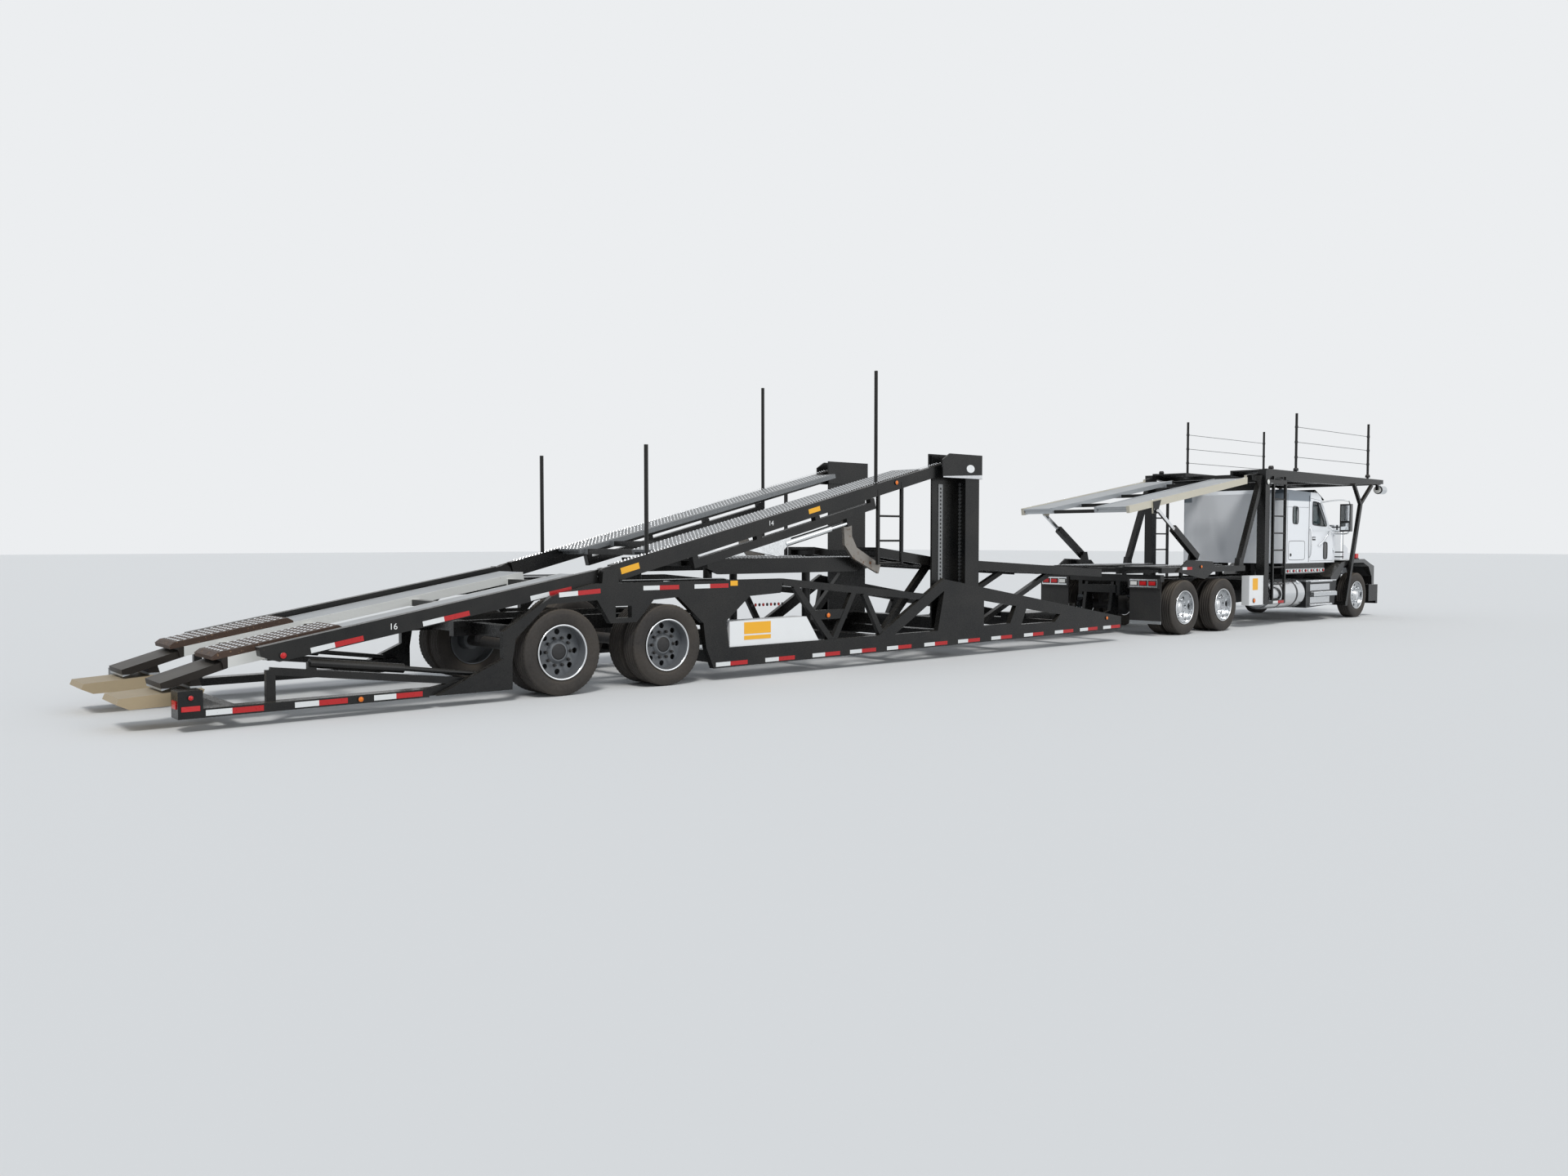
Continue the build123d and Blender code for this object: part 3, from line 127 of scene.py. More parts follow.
def surface(name, base, dust, dirt, roughness, metallic=0.0, coat=0.0, grain=40.0, bump=0.0, wear=None,
        wear_start=0.62, zones=(), shine=0.5):
    """Surface with dust on top, bare spots, and zones of (low, high, colour, metallic, roughness)."""
    material, tree, place = begin_material(name)
    spots = noise(tree, place, 1.7, 6.0, 0.62)
    fine = noise(tree, place, grain, 4.0, 0.6)
    facing = add(tree, "ShaderNodeSeparateXYZ", None, {"Vector": place["Normal"]}).outputs["Z"]
    upward = spread(tree, facing, 0.2, 1.0, 0.35, 1.0)
    layer = spread(tree, maths(tree, "MULTIPLY", upward, spots), 0.12, 0.7, 0.0, dirt)
    rough = spread(tree, fine, 0.3, 0.7, *roughness)
    clean, metal = srgb(base), metallic
    if zones:
        split = add(tree, "ShaderNodeSeparateXYZ", None, {"Vector": place["Object"]})
        across = maths(tree, "ABSOLUTE", split.outputs["Y"])
        for low, high, zone_colour, zone_metal, zone_rough in zones:
            mask = inside_zone(tree, split, across, low, high)
            clean = mixed(tree, mask, clean, srgb(zone_colour), "RGBA")
            metal = mixed(tree, mask, metal, zone_metal)
            rough = mixed(tree, mask, rough, zone_rough)
    colour = mixed(tree, layer, clean, srgb(dust), "RGBA")
    if wear:
        bare = spread(tree, fine, wear_start, wear_start + 0.05)
        colour = mixed(tree, bare, colour, srgb(wear), "RGBA")
    values = {"Base Color": colour, "Metallic": metal, "Roughness": rough, "Coat Weight": coat,
        "Coat Roughness": 0.08, "Specular IOR Level": shine}
    if bump:
        lift = add(tree, "ShaderNodeBump", None, {"Height": fine, "Strength": bump, "Distance": 0.002})
        values["Normal"] = lift.outputs["Normal"]
    end_material(tree, values)
    return material


def glass_material(name, tint, roughness=0.03, clear=1.0, glow=0.0):
    """Pane with a thin film of dust, or with some glow a lens that also has fine ribs."""
    material, tree, place = begin_material(name)
    rough = spread(tree, noise(tree, place, 6.0, 5.0, 0.5), 0.3, 0.8, roughness, roughness + 0.12)
    values = {"Base Color": srgb(tint), "Roughness": rough, "IOR": 1.49, "Transmission Weight": clear}
    if glow:
        ribs = add(tree, "ShaderNodeTexWave", {"bands_direction": "Z"},
            {"Vector": place["Object"], "Scale": 60.0}).outputs["Fac"]
        lift = add(tree, "ShaderNodeBump", None, {"Height": ribs, "Strength": 0.3, "Distance": 0.001})
        values |= {"Normal": lift.outputs["Normal"], "Emission Color": srgb(tint), "Emission Strength": glow}
    end_material(tree, values)
    return material


# Materials; far lies beyond both ends of the truck
far = 20.0
black, gel_coat, rubber_grey = "#0b0c0d", "#0f1012", "#2a2b2d"
silver, edge_white, plated, bright_plated = "#b4b8bb", "#d9d9d4", "#d6d9db", "#c9ccce"
road_dust, pale_dust = "#6d675d", "#b9b4a8"


def enamel(name, dirt, roughness, dust=road_dust, **more):
    """Black alkyd paint sprayed over steel, glossy, with road dust on its upper faces."""
    return surface(name, black, dust, dirt, roughness, shine=0.3, **more)


def white_paint(name, dust, dirt, *zones):
    """White two-stage paint, lacquered."""
    return surface(name, "#eceef0", dust, dirt, (0.16, 0.28), coat=0.6, grain=12.0, zones=zones)


# Chassis enamel: black alkyd paint with chips to rust
chassis_enamel = enamel("chassis_enamel", 0.3, (0.2, 0.4), coat=0.08, grain=30.0, bump=0.05, wear="#4a3b30",
    wear_start=0.72)
# Upper deck: the same enamel on the rails, bare galvanised tracks between them
upper_deck_enamel = enamel("upper_deck_enamel", 0.35, (0.22, 0.42), coat=0.05, bump=0.05,
    zones=(((-far, 0.5, 0), (far, 1.1, 9), "#85888a", 0.6, 0.5),))
# Tractor deck: galvanised tracks with cream edge bars and black lugs
tractor_deck_enamel = enamel("tractor_deck_enamel", 0.35, (0.25, 0.45),
    zones=(((-far, 0.42, 0), (6.4, 1.06, 9), silver, 0.7, 0.42),
    ((-far, 1.058, 0), (6.45, 1.14, 9), "#c9c3b2", 0.0, 0.5)))
# Tail deck: silver tracks with white edges between black rails, a dark end channel and a dusty skid
tail_deck_enamel = enamel("tail_deck_enamel", 0.38, (0.25, 0.45), "#6e6a62", bump=0.1,
    wear="#6b5340", wear_start=0.7,
    zones=(((-far, 0.40, 0), (far, 1.08, 9), silver, 0.75, 0.42),
        ((-far, 0.985, 0), (far, 1.03, 9), edge_white, 0.0, 0.5),
        ((-far, 0.39, 0), (far, 0.45, 9), edge_white, 0.0, 0.5),
        ((-12.42, 0.3, 0.36), (-11.76, 1.12, 0.62), "#221d19", 0.2, 0.5),
        ((-13.0, 0.3, 0.1), (-11.9, 1.12, 0.338), "#a8977a", 0.1, 0.55)))
# Upright enamel: black, with the grey lift cylinders and their plated rods
upright_enamel = enamel("upright_enamel", 0.25, (0.2, 0.38), coat=0.08,
    zones=(((7.03, 1.15, 0.49), (7.12, 1.4, 1.5), "#7d8185", 0.3, 0.4),
    ((7.03, 1.15, 1.5), (7.12, 1.4, 2.76), bright_plated, 1.0, 0.15)))
# Rack enamel: black with plated lamps at the front, each with a white face
rack_enamel = enamel("rack_enamel", 0.25, (0.2, 0.38), coat=0.08,
    zones=(((12.37, 0.9, 2.6), (12.645, 1.25, 2.9), plated, 1.0, 0.12),
    ((12.645, 0.9, 2.6), (12.7, 1.25, 2.9), "#f2f3ee", 0.0, 0.1)))
# Flap rubber: reinforced mud flap sheet, dusty and dull, with a plated foot bar
flap_rubber = surface("flap_rubber", "#1b1b1b", "#6a6459", 0.4, (0.5, 0.75), bump=0.1,
    zones=(((0, 0, 0.2), (far, 2, 0.264), bright_plated, 1.0, 0.18),))
# Bonnet: white two-stage paint, with fenders in black gel coat
bonnet_enamel = white_paint("bonnet_enamel", "#a9a396", 0.2,
    ((10.6, 0.715, 0.5), (12.2, 1.3, 1.32), gel_coat, 0.0, 0.14),
    ((11.9, 0.4, 0.5), (12.2, 0.5, 0.92), "#17181a", 0.0, 0.4))
# Cab enamel: white paint over aluminium panels, with painted shade as a grey-blue band along the top of the
# sleeper, the dark screen head and the door seals
cab_enamel = white_paint("cab_enamel", pale_dust, 0.22,
    # Painted shade: the top of the white sleeper in grey-blue, as the white paint looks in shade
    ((7.9, 0.9, 2.46), (9.17, 1.2, 2.75), "#66727d", 0.1, 0.3),
    ((9.6, 0, 2.515), (10.0, 1.03, 2.6), "#15161a", 0.0, 0.3),
    ((8.2, 1.0, 1.19), (8.3, 1.075, 2.5), rubber_grey, 0.0, 0.6),
    ((9.08, 1.0, 1.19), (9.12, 1.075, 2.5), rubber_grey, 0.0, 0.6))
# Door enamel: as the cab, with plated mirror tubes and black mirror shells
door_enamel = white_paint("door_enamel", pale_dust, 0.2,
    ((9.0, 1.112, 1.7), (11.0, 1.6, 2.8), plated, 1.0, 0.12),
    ((10.07, 1.27, 1.80), (10.19, 1.52, 2.43), gel_coat, 0.0, 0.2))
# Cabinet enamel: white powder coat on sheet steel, flatter than the cab
cabinet_enamel = surface("cabinet_enamel", "#e8e9e8", "#9d978b", 0.28, (0.35, 0.5), grain=60.0,
    zones=(((-6.0, 1.0, 0.7), (-5.2, 1.2, 0.9), "#8b1d1a", 0.0, 0.4),))
# Wheel enamel: grey paint on pressed steel discs, with brake dust
wheel_enamel = surface("wheel_enamel", "#686b6e", "#3a342d", 0.45, (0.4, 0.6), grain=25.0)
# Polished aluminium: forged wheels, mirror bright with faint haze
polished_aluminium = surface("polished_aluminium", "#d9dbdd", "#a39c8f", 0.15, (0.12, 0.26), metallic=1.0,
    grain=18.0)
# Tank aluminium: polished shell with dark rubber-lined straps
tank_aluminium = surface("tank_aluminium", "#d9dbdd", "#a39c8f", 0.12, (0.14, 0.26), metallic=1.0,
    grain=14.0, zones=[((start, 0.5, 0), (start + 0.08, 1.4, 1), "#222326", 0.2, 0.35)
    for start in (7.67, 8.27)])
# Step aluminium: bright treads on a dark box, with black skirts behind the fenders
step_aluminium = surface("step_aluminium", "#cfd2d4", "#8d877b", 0.2, (0.2, 0.36), metallic=0.95, bump=0.1,
    zones=(((9.75, 0.5, 0.846), (10.7, 1.3, 1.3), gel_coat, 0.0, 0.2),
    ((8.0, 0.5, 0.2), (10.3, 1.192, 0.82), "#26282a", 0.5, 0.4)))
# Chrome plate: air cleaners, leg rods and small trim
chrome_plate = surface("chrome_plate", "#e6e8ea", "#b0aca4", 0.08, (0.05, 0.14), metallic=1.0, grain=10.0)
# Grille: plated bars before a black core
grille_chrome = surface("grille_chrome", "#e6e8ea", "#b0aca4", 0.06, (0.06, 0.15), metallic=1.0,
    zones=(((11.9, -1, 0), (12.0427, 2, 3), "#0d0d0e", 0.0, 0.7),))
# Cylinder plate: bright barrels
cylinder_chrome = surface("cylinder_chrome", "#dfe1e2", "#8f897d", 0.2, (0.1, 0.24), metallic=1.0)
# Hook steel: bare arm plate with rubbed paint and brown rust
hook_steel = surface("hook_steel", "#8a8680", "#5d4a3a", 0.6, (0.38, 0.6), metallic=0.6, grain=25.0,
    bump=0.2, wear="#6b4a33", wear_start=0.6)
# Worn skid steel: bare plate polished by the ground, with orange rust
worn_steel = surface("worn_steel", "#4b3a30", "#2c231d", 0.6, (0.45, 0.75), metallic=0.4, grain=35.0,
    bump=0.3, wear="#8a6f58")
# Forged iron: axles, hubs and the engine, dull and greasy
forged_iron = surface("forged_iron", "#2e2e2f", "#5c5246", 0.45, (0.5, 0.7), metallic=0.3, grain=30.0,
    bump=0.2)
# Tyre rubber: vulcanised and brown grey with road dust
tyre_rubber = surface("tyre_rubber", "#2a2725", "#756a5b", 0.75, (0.7, 0.9), grain=50.0, bump=0.2)
# Seal rubber: extruded window seals, hoods and knobs, semi-matt
seal_rubber = surface("seal_rubber", "#151517", "#4a463f", 0.2, (0.4, 0.6), grain=80.0)
# Seat vinyl: embossed dark trim sheet, 3 mm grain drawn at 8 mm so that it shows
seat_vinyl = surface("seat_vinyl", "#2c2d31", "#3f4046", 0.2, (0.5, 0.65), grain=125.0, bump=0.3)
# Reflective tape: glass-bead sheeting, silver and red lengths, 25 mm cells
silver_tape = surface("silver_tape", "#dcdedd", "#a7a196", 0.25, (0.25, 0.4), metallic=0.2)
red_tape = surface("red_tape", "#b31217", "#6d3a33", 0.2, (0.25, 0.4), metallic=0.1)
# Label vinyl: blank yellow stickers with scuffs
label_vinyl = surface("label_vinyl", "#f2b01c", "#a9843a", 0.25, (0.35, 0.5), grain=30.0)
# Red plastic: moulded phenolic lever knobs
red_plastic = surface("red_plastic", "#b51d17", "#7a3a30", 0.2, (0.25, 0.4))
# Number paint: stencilled white figures
number_paint = surface("number_paint", "#e9e9e6", "#a7a196", 0.2, (0.5, 0.6))
# Pipe zinc: plated steel lines and guide strips
pipe_zinc = surface("pipe_zinc", "#8d8f90", "#5c5246", 0.3, (0.25, 0.4), metallic=0.9)
# Smoked acrylic: the visor and the lower door windows, near black and glossy
smoked_panel = surface("smoked_panel", "#0b0d0f", "#5d5a52", 0.12, (0.05, 0.14), coat=0.4, shine=0.6)
# Toughened glass: grey-green tint with a thin film of dust
window_glass = glass_material("window_glass", "#7d8a8c")
# Acrylic lenses: moulded with fine ribs, in three colours
red_lens = glass_material("red_lens", "#d0141a", 0.1, 0.25, 0.08)
amber_lens = glass_material("amber_lens", "#f07a10", 0.1, 0.25, 0.12)
clear_lens = glass_material("clear_lens", "#f4f4ee", 0.08, 0.3, 0.12)
lamp_finishes = [seal_rubber, red_lens, amber_lens, clear_lens]

# Which CAD nodes take which finish
node_finishes = (
    (cab_enamel, ("cab_shell",)), (door_enamel, ("door_right", "door_left")), (bonnet_enamel, ("hood",)),
    (cabinet_enamel, ("hydraulic_cabinet", "control_cabinet")),
    (window_glass, ("cab_glass", "door_glass_right", "door_glass_left")),
    (tank_aluminium, ("fuel_tanks",)), (step_aluminium, ("step_boxes",)), (grille_chrome, ("grille",)),
    (chrome_plate, ("air_cleaners", "leg_rods")), (cylinder_chrome, ("upper_cylinders",)),
    (upper_deck_enamel, ("upper_deck",)), (tractor_deck_enamel, ("tractor_deck",)),
    (tail_deck_enamel, ("tail_deck",)), (upright_enamel, ("uprights",)), (rack_enamel, ("head_rack",)),
    (flap_rubber, ("rear_lamps",)), (worn_steel, ("tail_ramps",)), (hook_steel, ("lift_arms",)),
    (forged_iron, ("tractor_axles", "trailer_axles", "knuckle_right", "knuckle_left", "engine_block")),
    (seat_vinyl, ("cab_seats",)),
)
finish_of = {name: material for material, names in node_finishes for name in names}
for name, cad_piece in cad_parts.items():
    if name.endswith("_tyre"):
        material = tyre_rubber
    elif name.endswith("_rim"):
        material = wheel_enamel if name.startswith("trailer") else polished_aluminium
    else:
        material = finish_of.get(name, chassis_enamel)
    for holder in cad_piece.material_slots:
        holder.material = material


# Shaping helpers: each adds closed faces with one material number to a bench mesh

# Directions of a plate that stands on a side face, that lies flat, and that faces along the truck
on_side = ((1, 0, 0), (0, 0, 1))
flat = ((1, 0, 0), (0, 1, 0))
facing_along = ((0, 1, 0), (0, 0, 1))


def settle(bench, name, materials, body):
    """Turn a bench mesh into a piece that rides on a body."""
    bmesh.ops.recalc_face_normals(bench, faces=bench.faces)
    mesh = bpy.data.meshes.new(name)
    bench.to_mesh(mesh)
    bench.free()
    for material in materials:
        mesh.materials.append(material)
    made = bpy.data.objects.new(name, mesh)
    bpy.context.scene.collection.objects.link(made)
    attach(made, body)
    return made


def join_mesh(bench, mesh, number=0, smooth=False):
    """Move a plain mesh to the bench with one material number."""
    before = len(bench.faces)
    bench.from_mesh(mesh)
    bench.faces.ensure_lookup_table()
    for face in bench.faces[before:]:
        face.material_index = number
        face.smooth = face.smooth or smooth
    bpy.data.meshes.remove(mesh)


def plate(bench, centre, along, across, size, number=0, bevel=0.0):
    """Flat block: its middle, two of its directions, and its three sizes."""
    along, across = Vector(along).normalized(), Vector(across).normalized()
    turn = Matrix((along, across, along.cross(across))).transposed().to_4x4()
    before = set(bench.faces)
    stand = Matrix.Translation(centre) @ turn @ Matrix.Diagonal((*size, 1))
    made = bmesh.ops.create_cube(bench, matrix=stand)
    if bevel:
        edges = list(dict.fromkeys(edge for corner in made["verts"] for edge in corner.link_edges))
        bmesh.ops.bevel(bench, geom=edges, offset=bevel, segments=2, affect="EDGES", profile=0.6)
    for face in bench.faces:
        if face not in before:
            face.material_index = number


def band(number, *rows):
    """Rings of a turned form that all have one material number."""
    return [(radius, height, number) for radius, height in rows]


def turned(bench, centre, axis, profile, steps=20):
    """Turned form of (radius, height, number) rings; the number is the material of the band that follows."""
    lean = Vector(axis).to_track_quat("Z", "Y").to_matrix()
    rings = []
    for radius, height, _ in profile:
        angles = [2 * math.pi * k / steps for k in range(steps if radius else 1)]
        spots = [Vector((radius * math.cos(angle), radius * math.sin(angle), height)) for angle in angles]
        rings.append([bench.verts.new(Vector(centre) + lean @ spot) for spot in spots])
    for first, second, (_, _, number) in zip(rings, rings[1:], profile):
        for k in range(steps):
            corners = dict.fromkeys((first[k % len(first)], first[(k + 1) % len(first)],
                second[(k + 1) % len(second)], second[k % len(second)]))
            if len(corners) > 2:
                face = bench.faces.new(list(corners))
                face.material_index = number
                face.smooth = len(profile) > 5


def bent_tube(bench, points, radius, number=0, ring=False):
    """Round tube along points, with its corners drawn round by a third-order spline."""
    path = bpy.data.curves.new("tube", "CURVE")
    path.dimensions = "3D"
    path.bevel_depth = radius
    path.bevel_resolution = 3
    path.resolution_u = 6
    path.use_fill_caps = not ring
    line = path.splines.new("NURBS")
    line.points.add(len(points) - 1)
    for spot, point in zip(line.points, points):
        spot.co = (*point, 1)
    line.order_u = 3 if len(points) > 2 else 2
    line.use_cyclic_u = ring
    line.use_endpoint_u = not ring
    holder = bpy.data.objects.new("tube", path)
    mesh = bpy.data.meshes.new_from_object(holder)
    bpy.data.objects.remove(holder)
    bpy.data.curves.remove(path)
    join_mesh(bench, mesh, number, True)


def lamp(bench, centre, axis, radius, depth, lens):
    """Round lamp: rubber bezel with a domed lens, whose number is its place in the material list."""
    turned(bench, centre, axis, band(0, (0, -0.002), (radius, -0.002), (radius, depth * 0.6))
        + band(lens, (radius * 0.86, depth * 0.75), (radius * 0.55, depth * 1.1), (0, depth * 1.25)))


def at(x, y, z):
    """Point given from the first drive axle, as a place in the frame."""
    return (drive_x + x, y, z)


def row(x, z):
    """Side point given from the trailer's rear axle, as metres in the frame."""
    return (trailer_x + x, z)


def cut_corners(outline, share_of):
    """Two points near each corner of a closed outline, so that a spline through them keeps to its shape."""
    for here, before, after in zip(outline, outline[-1:] + outline[:-1], outline[1:] + outline[:1]):
        for other in (before, after):
            yield Vector(here).lerp(Vector(other), share_of((Vector(other) - Vector(here)).length))


def seal(bench, side, y, outline, radius=0.010):
    """Rubber loop on one side of the cab round an outline in millimetres from the first drive axle."""
    corners = [at(x / 1000, side * y, z / 1000) for x, z in outline]
    bent_tube(bench, list(cut_corners(corners, lambda length: min(0.45, 0.03 / length))), radius, 0, True)


def tube(bench, side, points, radius, number=0):
    """Tube on one side through (x, |y|, z) points from the first drive axle."""
    bent_tube(bench, [at(x, side * y, z) for x, y, z in points], radius, number)


def plates(bench, side, *rows):
    """Plates on one side: (x, |y|, z) from the first drive axle, directions, size, number and bevel."""
    for (x, y, z), directions, size, number, bevel in rows:
        plate(bench, at(x, side * y, z), *directions, size, number, bevel)


# Repeated forms by Geometry Nodes: lugs and nuts on a circle, studs on a grid

def open_tree(name, inputs):
    """Empty Geometry Nodes tree, the codes of its inputs, and their values inside it."""
    tree = bpy.data.node_groups.new(name, "GeometryNodeTree")
    tree.interface.new_socket("Geometry", in_out="OUTPUT", socket_type="NodeSocketGeometry")
    sockets = {label: tree.interface.new_socket(label, in_out="INPUT",
        socket_type=f"NodeSocket{kind}").identifier for label, kind in inputs.items()}
    return tree, sockets, add(tree, "NodeGroupInput").outputs


def frustum(tree, sides, size):
    """Cut cone whose lower radius, upper radius and height are the three parts of a size."""
    part = add(tree, "ShaderNodeSeparateXYZ", None, {"Vector": size}).outputs
    return add(tree, "GeometryNodeMeshCone", None,
        {"Vertices": sides, "Radius Top": part["Y"], "Radius Bottom": part["X"], "Depth": part["Z"]})


def close_tree(tree, given, repeated, turn):
    """Make the repeated shapes real, turn and move them, and give them their finish."""
    put = add(tree, "GeometryNodeInstanceOnPoints", None, repeated)
    real = add(tree, "GeometryNodeRealizeInstances", None, {"Geometry": put.outputs["Instances"]})
    stand = add(tree, "GeometryNodeTransform", None,
        {"Geometry": real.outputs["Geometry"], "Translation": given["Centre"], "Rotation": turn})
    coat = add(tree, "GeometryNodeSetMaterial", None,
        {"Geometry": stand.outputs["Geometry"], "Material": given["Finish"]})
    add(tree, "NodeGroupOutput", None, {"Geometry": coat.outputs["Geometry"]})


def ring_tree(name, block):
    """A block, or a six-sided nut, repeated on a circle that stands on its edge."""
    tree, sockets, given = open_tree(name, {"Count": "Int", "Circle Radius": "Float", "Size": "Vector",
        "Centre": "Vector", "Finish": "Material"})
    circle = add(tree, "GeometryNodeMeshCircle", None,
        {"Vertices": given["Count"], "Radius": given["Circle Radius"]})
    if block:
        shape = add(tree, "GeometryNodeMeshCube", None, {"Size": given["Size"]})
    else:
        shape = frustum(tree, 6, given["Size"])
    spot = add(tree, "GeometryNodeInputPosition").outputs["Position"]
    turn = add(tree, "FunctionNodeAlignRotationToVector", {"axis": "X"}, {"Vector": spot}).outputs["Rotation"]
    close_tree(tree, given, {"Points": circle.outputs["Mesh"], "Instance": shape.outputs["Mesh"],
        "Rotation": turn}, (math.pi / 2, 0, 0))
    return tree, sockets


def row_tree(name):
    """Low round studs in rows and columns on a sloping plane."""
    tree, sockets, given = open_tree(name,
        {"Length": "Float", "Width": "Float", "Columns": "Int", "Rows": "Int", "Size": "Vector",
        "Centre": "Vector", "Slope": "Vector", "Finish": "Material"})
    grid = add(tree, "GeometryNodeMeshGrid", None,
        {"Size X": given["Length"], "Size Y": given["Width"], "Vertices X": given["Columns"],
        "Vertices Y": given["Rows"]}).outputs["Mesh"]
    stud = frustum(tree, 8, given["Size"]).outputs["Mesh"]
    close_tree(tree, given, {"Points": grid, "Instance": stud}, given["Slope"])
    return tree, sockets


lug_tree = ring_tree("shoulder_lugs", True)
nut_tree = ring_tree("wheel_nuts", False)
stud_tree = row_tree("grip_studs")


def grow(bench, tree_and_sockets, values):
    """Add to the bench what a Geometry Nodes tree makes from named values."""
    tree, sockets = tree_and_sockets
    holder = bpy.data.objects.new("grown", bpy.data.meshes.new("grown"))
    bpy.context.scene.collection.objects.link(holder)
    modifier = holder.modifiers.new("grown", "NODES")
    modifier.node_group = tree
    for label, value in values.items():
        modifier[sockets[label]] = value
    bpy.context.view_layer.update()
    graph = bpy.context.evaluated_depsgraph_get()
    mesh = bpy.data.meshes.new_from_object(holder.evaluated_get(graph))
    bpy.data.objects.remove(holder)
    join_mesh(bench, mesh)


def studs(bench, centre, slope, length, width, columns, rows, size):
    """Grid of studs; the size is (lower radius, upper radius, height)."""
    grow(bench, stud_tree, {"Length": length, "Width": width, "Columns": columns, "Rows": rows, "Size": size,
        "Centre": centre, "Slope": (0.0, -slope, 0.0), "Finish": hook_steel})


# Wheels: tyres with tread grooves and shoulder lugs, nuts, hub caps and rim lips

bead_radius = 0.2865


def tyre_rings(width, radius):
    """Rings of the carcass from bead to bead, with four tread grooves."""
    half = width / 2
    outside = [(bead_radius, 0.72), (0.300, 0.80), (0.325, 0.90), (0.352, 0.965), (0.385, 0.995),
        (0.41, 0.985), (radius * 0.90, 0.95), (radius * 0.95, 0.905), (radius * 0.975, 0.86),
        (radius - 0.006, 0.80)]
    for groove in (0.50, 0.17):
        outside += [(radius - 0.004, groove + 0.045), (radius - 0.017, groove + 0.03),
            (radius - 0.017, groove - 0.03), (radius - 0.003, groove - 0.045)]
    return band(0, *[(r, share * half) for r, share in outside],
        *[(r, -share * half) for r, share in outside[::-1]], (bead_radius, -0.72 * half),
        (bead_radius, 0.72 * half))


tread_steps = 72
lug_count = 64
nut_count = 10
wheels = []
for group, start, spacing, radius in (("trailer", trailer_x, 1.36, trailer_radius),
        ("drive", drive_x, 1.33, drive_radius)):
    for number in (1, 2):
        for hand, side in hands:
            wheels.append((f"{group}_wheel_{number}_{hand}", start + (number - 1) * spacing, radius, side,
                twin_centres, twin_width))
for hand, side in hands:
    wheels.append((f"steer_wheel_{hand}", steer_x, drive_radius, side, (steer_centre,), steer_width))
for name, x, radius, side, centres, width in wheels:
    bench = bmesh.new()
    for lateral in centres:
        turned(bench, (x, side * lateral, radius), (0, 1, 0), tyre_rings(width, radius), tread_steps)
        for edge in (-1, 1):
            grow(bench, lug_tree, {"Count": lug_count, "Circle Radius": radius - 0.010,
                "Size": (0.016, 0.026, width * 0.085), "Finish": tyre_rubber,
                "Centre": (x, side * lateral + edge * width * 0.355, radius)})
    bmesh.ops.remove_doubles(bench, verts=bench.verts, dist=0.00005)
    tyre = settle(bench, f"{name}_tread", [tyre_rubber], name)
    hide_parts(f"{name}_tyre")
    # Distance out to the disc face and to the hub cap, and the circle of the nuts
    if len(centres) == 2:
        disc, cap, nut_circle = half_width - 0.14, half_width - 0.10, 0.150
    else:
        disc, cap, nut_circle = steer_centre + 0.06, steer_centre + 0.125, 0.155
    lip = centres[-1] + width / 2 * 0.81
    bench = bmesh.new()
    grow(bench, nut_tree, {"Count": nut_count, "Circle Radius": nut_circle, "Size": (0.019, 0.014, 0.034),
        "Centre": (x, side * (disc + 0.020), radius), "Finish": chrome_plate})
    turned(bench, (x, side * cap, radius), (0, side, 0),
        band(0, (0, -0.004), (0.085, -0.004), (0.085, 0.004), (0.07, 0.006), (0.062, 0.009), (0, 0.0095)), 28)
    turned(bench, (x, side * lip, radius), (0, side, 0),
        band(1, (0.2775, 0), (0.2985, 0), (0.2995, 0.012), (0.292, 0.018), (0.2775, 0.012), (0.2775, 0)),
        tread_steps)
    bmesh.ops.remove_doubles(bench, verts=bench.verts, dist=0.00005)
    hub_finish = forged_iron if name.startswith("trailer") else chrome_plate
    settle(bench, f"{name}_fittings", [hub_finish, polished_aluminium], name)

# Slopes of the decks at rest, from two heights and two stations of each
upper_slope = math.atan2(2.69 - 1.262, 6.31 - 0.59)
tail_slope = math.atan2(0.18, 1)
deck_slope = math.atan2(2.860 - 2.215, 2.620 + 1.530)
upper_pivot = (trailer_x + 0.59, 1.262)
deck_pivot = (drive_x + 2.62, 2.86)


def on_slope(start, slope, distance, rise):
    """Point along a sloping deck from its pivot, with the rise square to it."""
    return (start[0] + distance * math.cos(slope) - rise * math.sin(slope),
        start[1] + distance * math.sin(slope) + rise * math.cos(slope))


def on_upper(distance, rise):
    """Point on the upper deck's rail."""
    return on_slope(upper_pivot, upper_slope, distance, rise)


def on_tail(distance, rise):
    """Point on the tail deck's rail."""
    return on_slope(upper_pivot, tail_slope, distance, rise)


